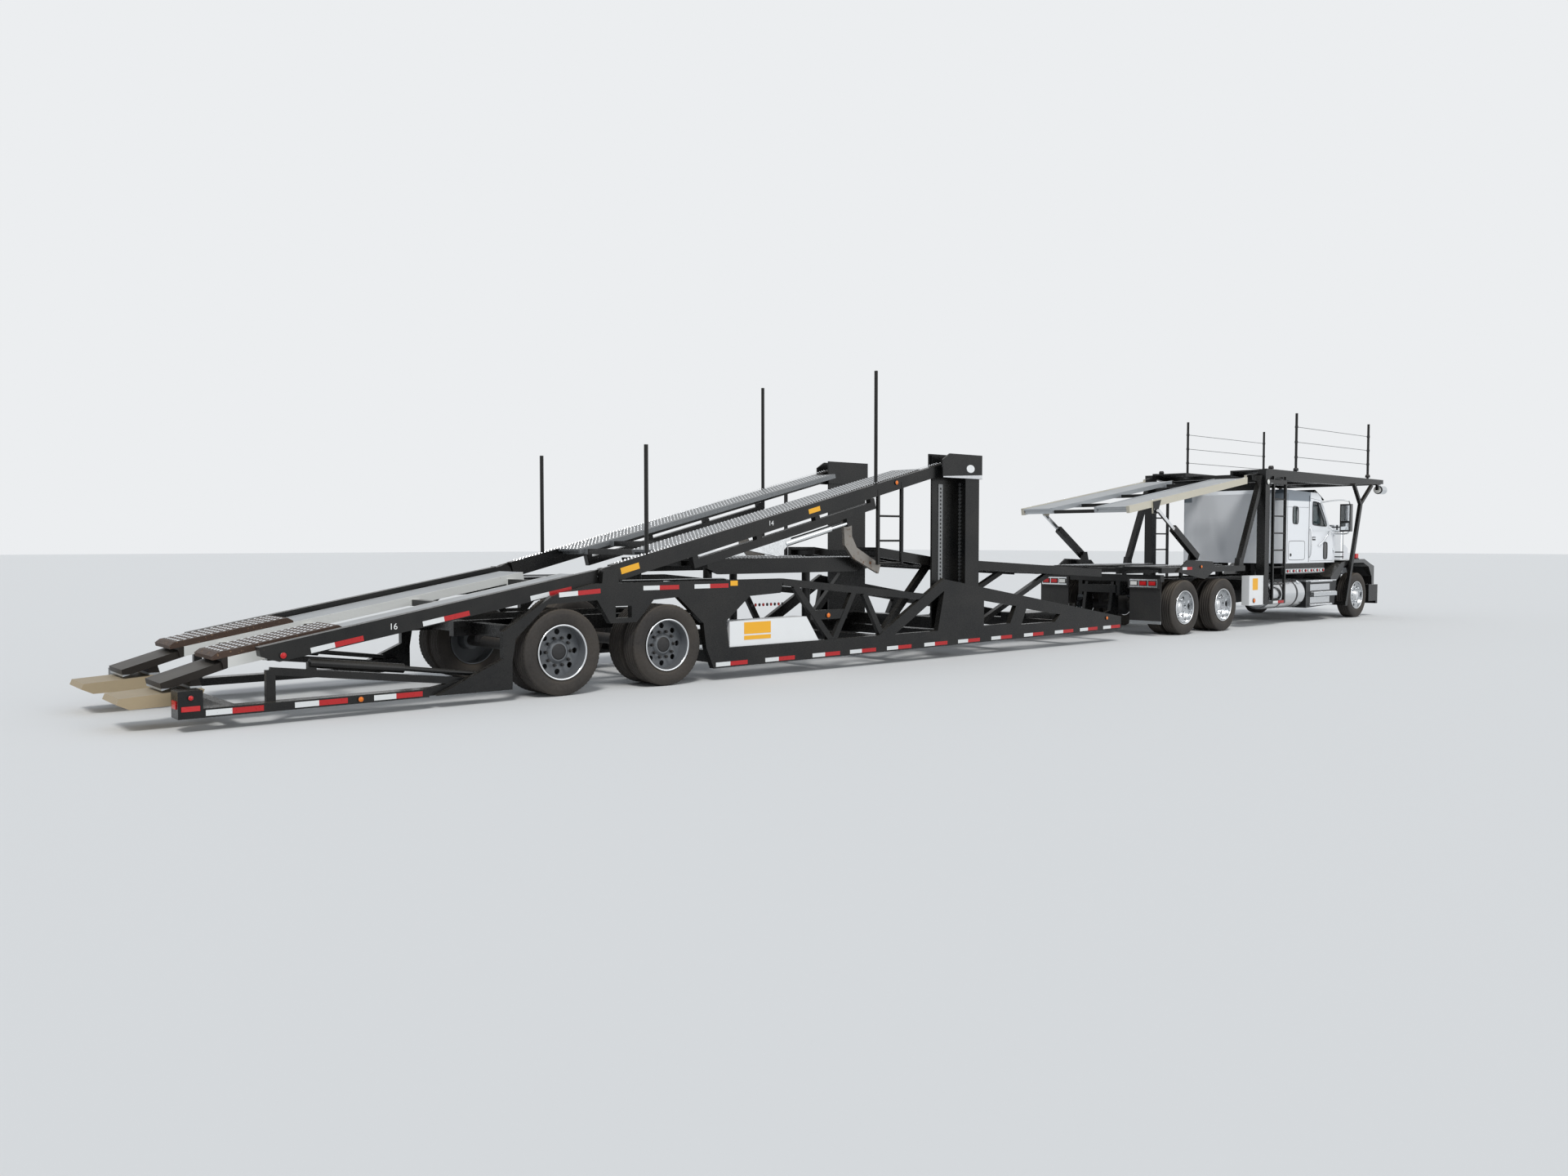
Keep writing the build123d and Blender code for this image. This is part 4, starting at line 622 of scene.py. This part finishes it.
# Grip studs: body, name, pivot, slope, middle along, rise, |y|, length, width, columns, rows, stud radius
stud_rows = (
    ("upper_deck", "upper_rail_grip", upper_pivot, upper_slope, 2.95, 0.097, 1.1525, 5.5, 0.07, 120, 2, 0.011),
    ("upper_deck", "upper_track_grip", upper_pivot, upper_slope, 3.0, 0.097, 0.84, 4.4, 0.40, 80, 6, 0.010),
    ("tail_deck", "tail_rail_grip", upper_pivot, tail_slope, -1.85, 0.012, 1.1525, 3.5, 0.06, 78, 2, 0.011),
    ("tail_ramps", "ramp_grip", upper_pivot, tail_slope, -3.43, 0.096, 0.71, 1.0, 0.44, 17, 6, 0.017),
    ("tractor_deck", "deck_edge_grip", deck_pivot, deck_slope, -2.1, 0.022, 1.09, 3.9, 0.03, 90, 1, 0.009),
    ("trailer", "mid_deck_grip", (trailer_x, 1.43), 0.0, 3.6, 0.002, 0.60, 2.7, 0.46, 46, 6, 0.011),
    ("tractor", "low_deck_grip", (drive_x, 1.202), 0.0, 0.6, 0.002, 0.72, 2.4, 0.50, 44, 6, 0.011),
    ("tractor", "upper_step_grip", (drive_x, 0.832), 0.0, 5.42, 0.002, 1.215, 0.9, 0.04, 40, 2, 0.008),
    ("tractor", "middle_step_grip", (drive_x, 0.60), 0.0, 5.52, 0.002, 1.232, 0.98, 0.06, 40, 3, 0.008),
    ("tractor", "lower_step_grip", (drive_x, 0.352), 0.0, 5.42, 0.002, 1.215, 0.9, 0.04, 40, 2, 0.008),
)
for body, name, start, slope, middle, rise, across, length, width, columns, rows, stud in stud_rows:
    bench = bmesh.new()
    x, z = on_slope(start, slope, middle, rise)
    for side in both_sides:
        studs(bench, (x, side * across, z), slope, length, width, columns, rows, (stud, stud * 0.55, 0.007))
    settle(bench, name, [polished_aluminium], body)


# Tapes, labels and lamps on the sides, in (x, z) or (x, |y|, z) measures

def side_strip(bench, start, end, width, face, side, number=0):
    """Thin strip on a side face between two (x, z) ends."""
    run = Vector((end[0] - start[0], 0, end[1] - start[1]))
    middle = ((start[0] + end[0]) / 2, side * (face + 0.0012), (start[1] + end[1]) / 2)
    plate(bench, middle, run, (-run.z, 0, run.x), (run.length, width, 0.002), number)


def tape(bench, start, end, face, side):
    """Reflective tape: a silver length and then a red one."""
    silver_share, width = 0.45, 0.05
    split = tuple(a + (b - a) * silver_share for a, b in zip(start, end))
    side_strip(bench, start, split, width, face, side, 0)
    side_strip(bench, split, end, width, face, side, 1)


def on_sill(x):
    """Point along the middle of the trailer's sill, which rises a little to the front."""
    return row(x, 0.192 + 0.0071 * (x - 2.01))


tape_length = 0.48
tape_rows = {
    "trailer": [(row(-0.05, 1.075), row(0.46, 1.105)), (row(1.02, 1.12), row(1.51, 1.12)),
        (row(1.73, 1.12), row(2.23, 1.12)),
        *((on_sill(x), on_sill(x + tape_length))
        for x in (2.04, 2.80, 3.58, 4.24, 4.93, 5.67, 6.38, 7.12, 7.89, 8.66, 9.32, 9.96))],
    "tractor": [((drive_x + 3.2, 0.465), (drive_x + 3.64, 0.465)),
        ((drive_x - 0.12, 1.165), (drive_x + 0.20, 1.165))],
    "tail_underframe": [(row(x, 0.160), row(x + tape_length, 0.160)) for x in (-3.53, -2.78, -2.05)],
}
for body, tapes in tape_rows.items():
    bench = bmesh.new()
    for start, end in tapes:
        for side in both_sides:
            tape(bench, start, end, half_width, side)
    settle(bench, f"{body}_tape", [silver_tape, red_tape], body)

# Tape along the tilting rails
bench = bmesh.new()
for middle in (-0.7, -1.9, -3.0):
    for side in both_sides:
        tape(bench, on_tail(middle - 0.25, -0.05), on_tail(middle + 0.25, -0.05), rail_face, side)
settle(bench, "tail_rail_tape", [silver_tape, red_tape], "tail_deck")

# Blank yellow labels: start, end, height, face; the two cabinets are on the right side alone
cabinet_face = half_width - 0.0145
label_rows = {
    "trailer": [(row(2.48, 0.60), row(2.90, 0.60), 0.14, cabinet_face),
        (row(2.48, 0.485), row(2.90, 0.485), 0.05, cabinet_face),
        (row(2.26, 1.145), row(2.37, 1.145), 0.06, half_width)],
    "tractor": [((drive_x + 2.42, 0.83), (drive_x + 2.62, 0.83), 0.22, cabinet_face)],
    "upper_deck": [(on_upper(0.20, 0.0), on_upper(0.45, 0.0), 0.07, rail_face),
        (on_upper(3.1, 0.0), on_upper(3.3, 0.0), 0.06, rail_face)],
}
for body, labels in label_rows.items():
    bench = bmesh.new()
    for start, end, height, face in labels:
        for side in right_only if face == cabinet_face else both_sides:
            side_strip(bench, start, end, height, face, side)
    settle(bench, f"{body}_labels", [label_vinyl], body)

# Round lamps that face outwards: (x, z), |y|, radius, lens number in the material list
lamp_rows = {
    "trailer": [(row(3.86, 0.70), 1.281, 0.034, 2), (row(10.05, 0.40), 1.296, 0.03, 2)],
    "tractor": [((drive_x + 2.47, 0.52), cabinet_face, 0.045, 2), ((drive_x + 2.925, 2.78), 1.296, 0.055, 3),
        ((drive_x + 0.5, 1.19), 1.297, 0.03, 2)],
    "upper_deck": [(on_upper(4.75, 0.02), 1.206, 0.032, 2)],
    "tail_deck": [(on_tail(-3.5, -0.035), 1.206, 0.032, 1)],
    "tail_underframe": [(row(-2.18, 0.16), 1.296, 0.028, 2), (row(-3.65, 0.30), 1.296, 0.024, 1)],
}
lamp_depth = 0.018
for body, lamps in lamp_rows.items():
    bench = bmesh.new()
    for (x, z), y, radius, lens in lamps:
        for side in right_only if y == cabinet_face else both_sides:
            lamp(bench, (x, side * y, z), (0, side, 0), radius, lamp_depth, lens)
    if body == "tractor":
        # Work lamps that look back from the rack
        for side in both_sides:
            lamp(bench, at(8.398, side * 1.10, 2.79), (-1, 0, 0), 0.088, lamp_depth, 3)
    settle(bench, f"{body}_lamps", lamp_finishes, body)

# Tail lamps of the tractor: a bright panel a side, with a clear lamp and two red ones in rubber frames
tail_face, lamp_line = -0.767, 0.915
bench = bmesh.new()
for side in both_sides:
    plates(bench, side, ((tail_face, 0.93, lamp_line), facing_along, (0.54, 0.14, 0.004), 4, 0))
    for y, lens in ((0.745, 3), (0.925, 1), (1.105, 1)):
        plates(bench, side,
            ((tail_face - 0.006, y, lamp_line), facing_along, (0.155, 0.095, 0.012), 0, 0.004),
            ((tail_face - 0.014, y, lamp_line), facing_along, (0.125, 0.066, 0.012), lens, 0.004))
settle(bench, "tail_lamps", [*lamp_finishes, polished_aluminium], "tractor")

# Red reflector bars on each rear bumper block, to the side and to the rear
bench = bmesh.new()
for side in both_sides:
    plate(bench, (trailer_x - 3.65, side * (half_width + 0.003), 0.205), *on_side,
        (0.15, 0.045, 0.010), 1, 0.003)
    plate(bench, (trailer_x - 3.754, side * 1.19, 0.24), *facing_along, (0.12, 0.07, 0.012), 1, 0.003)
settle(bench, "bumper_reflectors", [seal_rubber, red_lens], "tail_underframe")

# Post channels: a bright strip with a row of lock holes, and a rack along the post's rear face
post_strip, strip_low, strip_high = trailer_x + 6.24, 0.95, 2.45
strip_middle, strip_length = (strip_low + strip_high) / 2, strip_high - strip_low
lock_holes = 26
bench = bmesh.new()
for side in both_sides:
    plate(bench, (post_strip, side * 1.0745, strip_middle), *on_side, (0.09, strip_length, 0.009), 0, 0.002)
    for hole in range(lock_holes):
        turned(bench, (post_strip, side * 1.0785, strip_low + 0.06 + hole * 0.055), (0, side, 0),
            band(1, (0, 0), (0.017, 0), (0.017, 0.0012), (0, 0.0012)), 10)
    studs(bench, (trailer_x + 6.559, side * 1.17, strip_middle), math.pi / 2, strip_length, 0.03, 30, 1,
        (0.018, 0.026, 0.014))
settle(bench, "post_strips", [pipe_zinc, seal_rubber], "trailer")

# Carriage trim: a blank oval plate and the bright worn lip under each cap
bench = bmesh.new()
for side in both_sides:
    oval = (trailer_x + 6.63, side * half_width, 2.67)
    before = len(bench.verts)
    turned(bench, oval, (0, side, 0),
        band(0, (0, 0), (0.085, 0), (0.085, 0.004), (0.078, 0.006), (0, 0.006)), 28)
    bench.verts.ensure_lookup_table()
    bmesh.ops.scale(bench, vec=(1, 1, 0.66), verts=bench.verts[before:],
        space=Matrix.Translation(-Vector(oval)))
    plate(bench, (trailer_x + 6.465, side * (half_width + 0.001), 2.54), *on_side,
        (0.84, 0.016, 0.008), 1, 0.002)
settle(bench, "carriage_trim", [cabinet_enamel, polished_aluminium], "post_carriages")

# Lamp strip under the sleeper: a black panel, a plated strip and its lenses
strip_lamps = 14
bench = bmesh.new()
for side in both_sides:
    plates(bench, side, ((4.93, 1.066, 1.09), flat, (1.86, 0.024, 0.222), 0, 0.004),
        ((4.93, 1.083, 1.045), flat, (1.84, 0.012, 0.085), 4, 0.003))
    for k in range(strip_lamps):
        lamp(bench, at(4.08 + k * 0.131, side * 1.089, 1.045), (0, side, 0), 0.03, 0.014, 1 if k % 2 else 3)
settle(bench, "sleeper_lamp_strip", [chassis_enamel, red_lens, amber_lens, clear_lens, polished_aluminium],
    "tractor")

# Numbers stencilled beside the deck pins
for text, body, spot in (("15", "upper_deck", on_upper(0.06, -0.045)),
        ("14", "upper_deck", on_upper(2.45, -0.02)), ("16", "tail_deck", on_tail(-2.45, -0.035))):
    for hand, side in hands:
        words = bpy.data.curves.new("number", "FONT")
        words.body = text
        words.size = 0.085
        words.extrude = 0.0006
        words.align_x = "CENTER"
        holder = bpy.data.objects.new("number", words)
        mesh = bpy.data.meshes.new_from_object(holder)
        bpy.data.objects.remove(holder)
        stand = Matrix.Rotation(math.pi if side > 0 else 0, 4, "Z") @ Matrix.Rotation(math.pi / 2, 4, "X")
        mesh.transform(Matrix.Translation((spot[0], side * (rail_face + 0.001), spot[1])) @ stand)
        bench = bmesh.new()
        join_mesh(bench, mesh)
        settle(bench, f"{body}_number_{text}_{hand}", [number_paint], body)

# Lever knobs on the hydraulic cabinet, black and red in turn
bench = bmesh.new()
for k in range(9):
    turned(bench, (trailer_x + 2.95 + (k - 4) * 0.062, -1.155, 0.846), (0, 0, 1),
        band(k % 2, (0, 0), (0.009, 0), (0.013, 0.008), (0.016, 0.022), (0.012, 0.034), (0, 0.039)), 14)
settle(bench, "lever_knobs", [seal_rubber, red_plastic], "trailer")

# Four pipes side by side along each frame beam
bench = bmesh.new()
for side in both_sides:
    for k in range(4):
        y, x, lift = side * (1.234 + k * 0.014), trailer_x - k * 0.05, k * 0.004
        bent_tube(bench, [(x + 2.4, y, 1.12), (x + 2.4, y, 1.165 + 3 * lift), (x + 2.2, y, 1.195 + lift),
            (trailer_x + 0.75, y, 1.2 + lift)], 0.006)
settle(bench, "beam_pipes", [pipe_zinc], "trailer")

# Foot and rake of the windscreen: metres back for each metre up
screen_foot_x, screen_foot_z, screen_rake = 6.08, 1.96, 0.43 / 0.60
screen_run = Vector((-0.43, 0, 0.60)).normalized()


def on_screen(y, z, off):
    """Point before the raked windscreen, from the first drive axle."""
    return (screen_foot_x + off - screen_rake * (z - screen_foot_z), y, z)


# Cab trim on the tractor: window seal, lock, grab bar, seams, rain rail, ledge, cleaner bands, wipers, visor
upright = (0, 0, 1)
seam_y, seal_y = cab_side - 0.0005, cab_side + 0.001
bench = bmesh.new()
for side in both_sides:
    seal(bench, side, seal_y, [(4412, 2002), (4648, 1992), (4648, 2338), (4412, 2348)])
    turned(bench, at(4.339, side * 1.084, 1.37), (0, side, 0),
        band(0, (0, 0), (0.03, 0), (0.03, 0.006), (0.022, 0.01), (0.018, 0.006), (0, 0.006)), 24)
    tube(bench, side, [(5.155, cab_side, 1.32), (5.155, 1.125, 1.32), (5.155, 1.125, 1.92),
        (5.155, cab_side, 1.92)], 0.012, 1)
    # Seams of the luggage door and of the joint between sleeper and cab
    seal(bench, side, seam_y, [(4250, 1265), (4960, 1265), (4960, 1650), (4250, 1650)], 0.0045)
    tube(bench, side, [(5.13, seam_y, 1.22), (5.13, seam_y, 2.58)], 0.0065)
    tube(bench, side, [(4.19, seam_y, 1.22), (4.19, seam_y, 2.60)], 0.0045)
    tube(bench, side, [(4.03, seal_y, 2.335), (5.10, seal_y, 2.335)], 0.006, 1)
    # White ledge under each air cleaner, and the clamp bands round it
    plates(bench, side, ((6.525, 0.99, 1.252), flat, (0.33, 0.40, 0.022), 2, 0.006))
    for z in (1.30, 1.40, 1.84, 1.93):
        turned(bench, at(6.53, side * 1.0, z), upright,
            band(0, (0.1645, 0), (0.1685, 0), (0.1685, 0.026), (0.1645, 0.026), (0.1645, 0)), 48)
    # Wiper: arm and blade
    for low, high, y, thick in ((0.02, 0.50, 0.30, 0.006), (0.10, 0.48, 0.42, 0.009)):
        tube(bench, side, [on_screen(y + (rise - 0.1) * 0.25, screen_foot_z + rise, 0.012)
            for rise in (low, high)], thick)
# Dark visor over the screen, on three brackets, with a lip along its lower edge and a cheek at each end
visor_run = Vector((0.40, 0, -0.185)).normalized()
visor_lie = (visor_run, (0, 1, 0))
plate(bench, at(5.71, 0, 2.615), *visor_lie, (0.44, 2.04, 0.014), 4, 0.005)
plate(bench, at(5.905, 0, 2.513), *visor_lie, (0.02, 2.05, 0.028), 4, 0.004)
for y in (-0.85, 0.0, 0.85):
    plate(bench, at(5.66, y, 2.585), *flat, (0.05, 0.025, 0.08))
for y in (-1.0, 1.0):
    plate(bench, at(5.62, y, 2.60), *visor_lie, (0.26, 0.014, 0.07), 4, 0.003)
settle(bench, "cab_trim", [seal_rubber, chrome_plate, cabinet_enamel, polished_aluminium, smoked_panel],
    "tractor")

# Raked windscreen: two glass panes in rubber channels
low, high, inner, outer = 1.99, 2.50, 0.045, 0.925
bench = bmesh.new()
for side in both_sides:
    plate(bench, at(5.845, side * 0.485, 2.245), screen_run, (0, 1, 0), (0.60, 0.87, 0.006))
    corners = ((inner, low), (outer, low), (outer, high), (inner, high))
    edging = [at(*on_screen(side * y, z, -0.002)) for y, z in cut_corners(corners, lambda length: 0.06)]
    bent_tube(bench, edging, 0.013, 1, True)
settle(bench, "windscreen", [window_glass, seal_rubber], "tractor")

# Bright step faces with pressed ribs, and the nosings of the treads above and below them
step_x = 5.42
step_ribs = 6
bench = bmesh.new()
for side in both_sides:
    for low, high in ((0.63, 0.765), (0.375, 0.505)):
        plates(bench, side, ((step_x, 1.194, (low + high) / 2), on_side, (0.88, high - low, 0.010), 0, 0.003))
        for rib in range(step_ribs):
            z = low + (high - low) * (rib + 0.5) / step_ribs
            plates(bench, side, ((step_x, 1.200, z), on_side, (0.86, 0.010, 0.010), 0, 0.003))
    for z in (0.82, 0.34):
        plates(bench, side, ((step_x, 1.212, z), flat, (1.0, 0.05, 0.026), 0, 0.005))
settle(bench, "step_faces", [polished_aluminium], "tractor")

# Tank ends and fillers
tank_y = 0.945
bench = bmesh.new()
for side in both_sides:
    for x, facing in ((3.24, -1), (4.66, 1)):
        turned(bench, at(x, side * tank_y, 0.60), (facing, 0, 0),
            band(0, (0, 0), (0.262, 0), (0.262, -0.001), (0.25, 0.010), (0.13, 0.016), (0, 0.018)), 40)
    turned(bench, at(4.52, side * (tank_y + 0.19), 0.82), (0, side * 0.66, 0.75),
        band(0, (0, -0.02), (0.048, -0.02), (0.048, 0.022), (0.04, 0.03), (0.015, 0.033), (0, 0.033)), 24)
settle(bench, "tank_fittings", [polished_aluminium], "tractor")

# Door trim: window seals, dark peep panel, grab bar, handle, mirror glasses and the tubular mirror arm
mirror_x, mirror_y = 6.098, 1.39
for hand, side in hands:
    bench = bmesh.new()
    seal(bench, side, seal_y, [(5282, 1982), (5942, 1951), (5888, 2066), (5606, 2438), (5282, 2468)])
    seal(bench, side, seal_y, [(5800, 1280), (5970, 1280), (5970, 1620), (5800, 1620)], 0.013)
    plates(bench, side, ((5.885, 1.082, 1.45), on_side, (0.17, 0.34, 0.006), 2, 0))
    tube(bench, side, [(5.54, cab_side, 1.56), (5.54, 1.13, 1.56), (6.01, 1.13, 1.86),
        (6.01, cab_side, 1.86)], 0.013, 1)
    plates(bench, side,
        ((5.34, 1.084, 1.70), on_side, (0.17, 0.07, 0.008), 0, 0.003),
        ((5.34, 1.092, 1.705), on_side, (0.13, 0.028, 0.012), 1, 0.004),
        ((mirror_x, mirror_y, 2.23), facing_along, (0.17, 0.32, 0.004), 1, 0.001),
        ((mirror_x, mirror_y, 1.95), facing_along, (0.17, 0.14, 0.004), 1, 0.001))
    tube(bench, side, [(5.62, 1.07, 2.44), (5.85, 1.25, 2.50), (6.08, 1.42, 2.50), (6.215, 1.45, 2.47),
        (6.215, 1.45, 1.82), (6.19, 1.34, 1.79), (6.17, 1.07, 1.80)], 0.014, 1)
    settle(bench, f"door_trim_{hand}", [seal_rubber, chrome_plate, smoked_panel], f"door_{hand}")

# Bonnet trim on each fender: headlamp and turn lamp in a frame, the red lamp on its foot, and a latch
bench = bmesh.new()
for side in both_sides:
    plates(bench, side,
        ((8.004, 1.00, 0.98), facing_along, (0.17, 0.12, 0.010), 0, 0.003),
        ((8.010, 0.99, 0.98), facing_along, (0.14, 0.095, 0.012), 3, 0.004),
        ((8.007, 1.115, 0.98), facing_along, (0.05, 0.12, 0.012), 2, 0.004),
        ((7.25, 1.12, 1.268), flat, (0.15, 0.11, 0.016), 0, 0.004),
        ((7.25, 1.12, 1.326), flat, (0.13, 0.09, 0.10), 1, 0.012),
        ((6.62, 0.624, 1.36), on_side, (0.12, 0.05, 0.02), 4, 0.004))
settle(bench, "bonnet_trim", [*lamp_finishes, chrome_plate], "hood")

# Safety lines drawn tight between the rack poles, with a sleeve at each end
bench = bmesh.new()
for side in both_sides:
    for z in (3.32, 3.62, 3.92):
        tube(bench, side, [(4.30, pole_y, z), (7.66, pole_y, z)], 0.006)
        for x in (4.30, 7.66):
            turned(bench, at(x, side * pole_y, z - 0.02), upright,
                band(1, (pole_radius, 0), (0.031, 0), (0.031, 0.04), (pole_radius, 0.04), (pole_radius, 0)))
settle(bench, "safety_lines", [pipe_zinc, seal_rubber], "tractor")

# Collars at the feet of the poles
bench = bmesh.new()
for x, z in ((3.27, 3.055), (4.30, 3.055), (7.66, 3.045)):
    for side in both_sides:
        turned(bench, at(x, side * pole_y, z), upright, band(0, (pole_radius, -0.01), (0.05, -0.01),
            (0.05, 0.02), (0.04, 0.05), (pole_radius, 0.05), (pole_radius, -0.01)), 24)
settle(bench, "tractor_pole_collars", [forged_iron], "tractor")


# Cab inside: sewn seats, the dashboard and the steering wheel

def pad(bench, centre, size, channels, face_axis):
    """Closed cushion with rounded corners, a crowned face and sewn channels across it."""
    half = Vector(size) / 2
    radius, crown, seam_depth, seam_width = min(size) * 0.32, 0.012, 0.012, 0.05
    others = [axis for axis in (0, 1, 2) if axis != face_axis]
    made = bmesh.ops.create_cube(bench, size=2.0)
    edges = list(dict.fromkeys(edge for corner in made["verts"] for edge in corner.link_edges))
    bmesh.ops.subdivide_edges(bench, edges=edges, cuts=23, use_grid_fill=True)
    for corner in bench.verts:
        u = corner.co.copy()
        spot = Vector((u.x * half.x, u.y * half.y, u.z * half.z))
        core = Vector([max(-h + radius, min(h - radius, s)) for s, h in zip(spot, half)])
        if (spot - core).length:
            spot = core + (spot - core).normalized() * radius
        if abs(u[face_axis]) > 0.99:
            first, second = (u[axis] for axis in others)
            seam = min(abs(first - line) for line in channels)
            lift = crown * (1 - first ** 4) * (1 - second ** 4)
            lift -= seam_depth * math.exp(-(seam / seam_width) ** 2)
            spot[face_axis] += math.copysign(lift - crown, u[face_axis])
        corner.co = spot + Vector(centre)
    for face in bench.faces:
        face.smooth = True


# A pad reaches from -1 to 1, so a channel at -2 is none
no_channel = (-2.0,)
seat_y = 0.497
for hand, side in hands:
    for label, (x, z), size, channels, axis in (
            ("cushion", (5.40, 1.575), (0.50, 0.49, 0.13), (-0.55, 0.0, 0.55), 2),
            ("base", (5.40, 1.38), (0.42, 0.40, 0.26), no_channel, 2),
            ("back", (5.125, 1.83), (0.14, 0.48, 0.54), no_channel, 0),
            ("head_rest", (5.125, 2.165), (0.11, 0.28, 0.16), no_channel, 0)):
        bench = bmesh.new()
        pad(bench, at(x, side * seat_y, z), size, channels, axis)
        seat = settle(bench, f"seat_{label}_{hand}", [seat_vinyl], "tractor")
        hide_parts("cab_seats")
bench = bmesh.new()
plate(bench, at(6.135, 0, 1.66), *flat, (0.26, 1.88, 0.32), 0, 0.06)
plate(bench, at(6.25, 0, 1.45), *flat, (0.05, 1.86, 0.28), 0, 0.015)
# Steering wheel: rim, boss, column and three spokes
wheel = at(5.93, seat_y, 1.72)
lean = Vector((-0.75, 0, 0.66))
rim_radius, rim_thickness = 0.20, 0.014
turned(bench, wheel, lean,
    [(rim_radius + rim_thickness * math.cos(k * math.pi / 4), rim_thickness * math.sin(k * math.pi / 4), 1)
    for k in range(9)], 36)
turned(bench, wheel, lean,
    band(1, (0, -0.03), (0.05, -0.03), (0.05, 0), (0.03, 0.012), (0, 0.014), (0, 0.014)))
bent_tube(bench, [wheel, at(6.10, seat_y, 1.56)], 0.022, 1)
for angle in (0.5, 2.64, 4.71):
    spoke = lean.to_track_quat("Z", "Y") @ Vector((0.19 * math.cos(angle), 0.19 * math.sin(angle), 0))
    bent_tube(bench, [wheel, tuple(Vector(wheel) + spoke)], 0.010, 1)
for y, radius in ((0.40, 0.045), (0.52, 0.045), (0.62, 0.03), (0.30, 0.03)):
    turned(bench, at(6.004, y, 1.74), (-1, 0, 0), band(2, (0, 0), (radius, 0))
        + band(3, (radius, 0.01), (radius * 0.85, 0.012), (radius * 0.8, 0.008), (0, 0.008)))
dash = settle(bench, "dashboard", [seat_vinyl, seal_rubber, chrome_plate, window_glass], "tractor")
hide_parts("cab_seats")


# Floor, light and camera

def plain_material(name, colour):
    """Plain studio surface."""
    material = bpy.data.materials.new(name)
    material.use_nodes = True
    shader = material.node_tree.nodes["Principled BSDF"]
    shader.inputs["Base Color"].default_value = srgb(colour)
    shader.inputs["Roughness"].default_value = 0.9
    return material


floor_reach, floor_z = 160, -0.002
floor_mesh = bpy.data.meshes.new("floor")
floor_mesh.from_pydata([(x * floor_reach, y * floor_reach, floor_z) for x,
    y in ((-1, -1), (1, -1), (1, 1), (-1, 1))], [], [(0, 1, 2, 3)])
floor_mesh.materials.append(plain_material("studio_floor", "#dcdcda"))
floor = bpy.data.objects.new("floor", floor_mesh)
bpy.context.scene.collection.objects.link(floor)

# What the camera sees directly, through glass or mirrored is a plain backdrop; the dome gives the soft light
world = bpy.data.worlds.new("studio")
bpy.context.scene.world = world
world.use_nodes = True
sky = world.node_tree
sky.nodes.clear()
rays = add(sky, "ShaderNodeLightPath").outputs
shown = maths(sky, "MAXIMUM", maths(sky, "MAXIMUM", rays["Is Camera Ray"], rays["Is Transmission Ray"]),
    rays["Is Glossy Ray"])
dome = add(sky, "ShaderNodeBackground", None, {"Color": srgb("#dfe7f2"), "Strength": 0.6})
backdrop = add(sky, "ShaderNodeBackground", None, {"Color": srgb("#eceef0"), "Strength": 1.0})
blend = add(sky, "ShaderNodeMixShader", None,
    {"Fac": shown, 1: dome.outputs["Background"], 2: backdrop.outputs["Background"]})
add(sky, "ShaderNodeOutputWorld", None, {"Surface": blend.outputs["Shader"]})

for name, direction, strength, angle in (("key", (0.45, 0.55, -0.9), 1.7, 14),
        ("fill", (-0.5, 0.9, -0.35), 0.5, 40)):
    sun = bpy.data.lights.new(name, "SUN")
    sun.energy = strength
    sun.angle = math.radians(angle)
    holder = bpy.data.objects.new(name, sun)
    holder.rotation_euler = Vector(direction).to_track_quat("-Z", "Y").to_euler()
    bpy.context.scene.collection.objects.link(holder)

# Camera fitted to the photo: its place, its heading and how far it looks down
camera_place, ahead, sideways, pitch = (-14.938, -12.193, 1.64), 0.6587, 0.7524, math.radians(2.264)
lens = bpy.data.cameras.new("camera")
lens.sensor_fit = "HORIZONTAL"
lens.sensor_width = 36.0
lens.lens = 27.04
lens.clip_end = 1000.0
camera = bpy.data.objects.new("camera", lens)
camera.location = camera_place
look = Vector((ahead * math.cos(pitch), sideways * math.cos(pitch), -math.sin(pitch)))
camera.rotation_euler = look.to_track_quat("-Z", "Y").to_euler()
bpy.context.scene.collection.objects.link(camera)
bpy.context.scene.camera = camera
bpy.context.scene.view_settings.view_transform = "Standard"
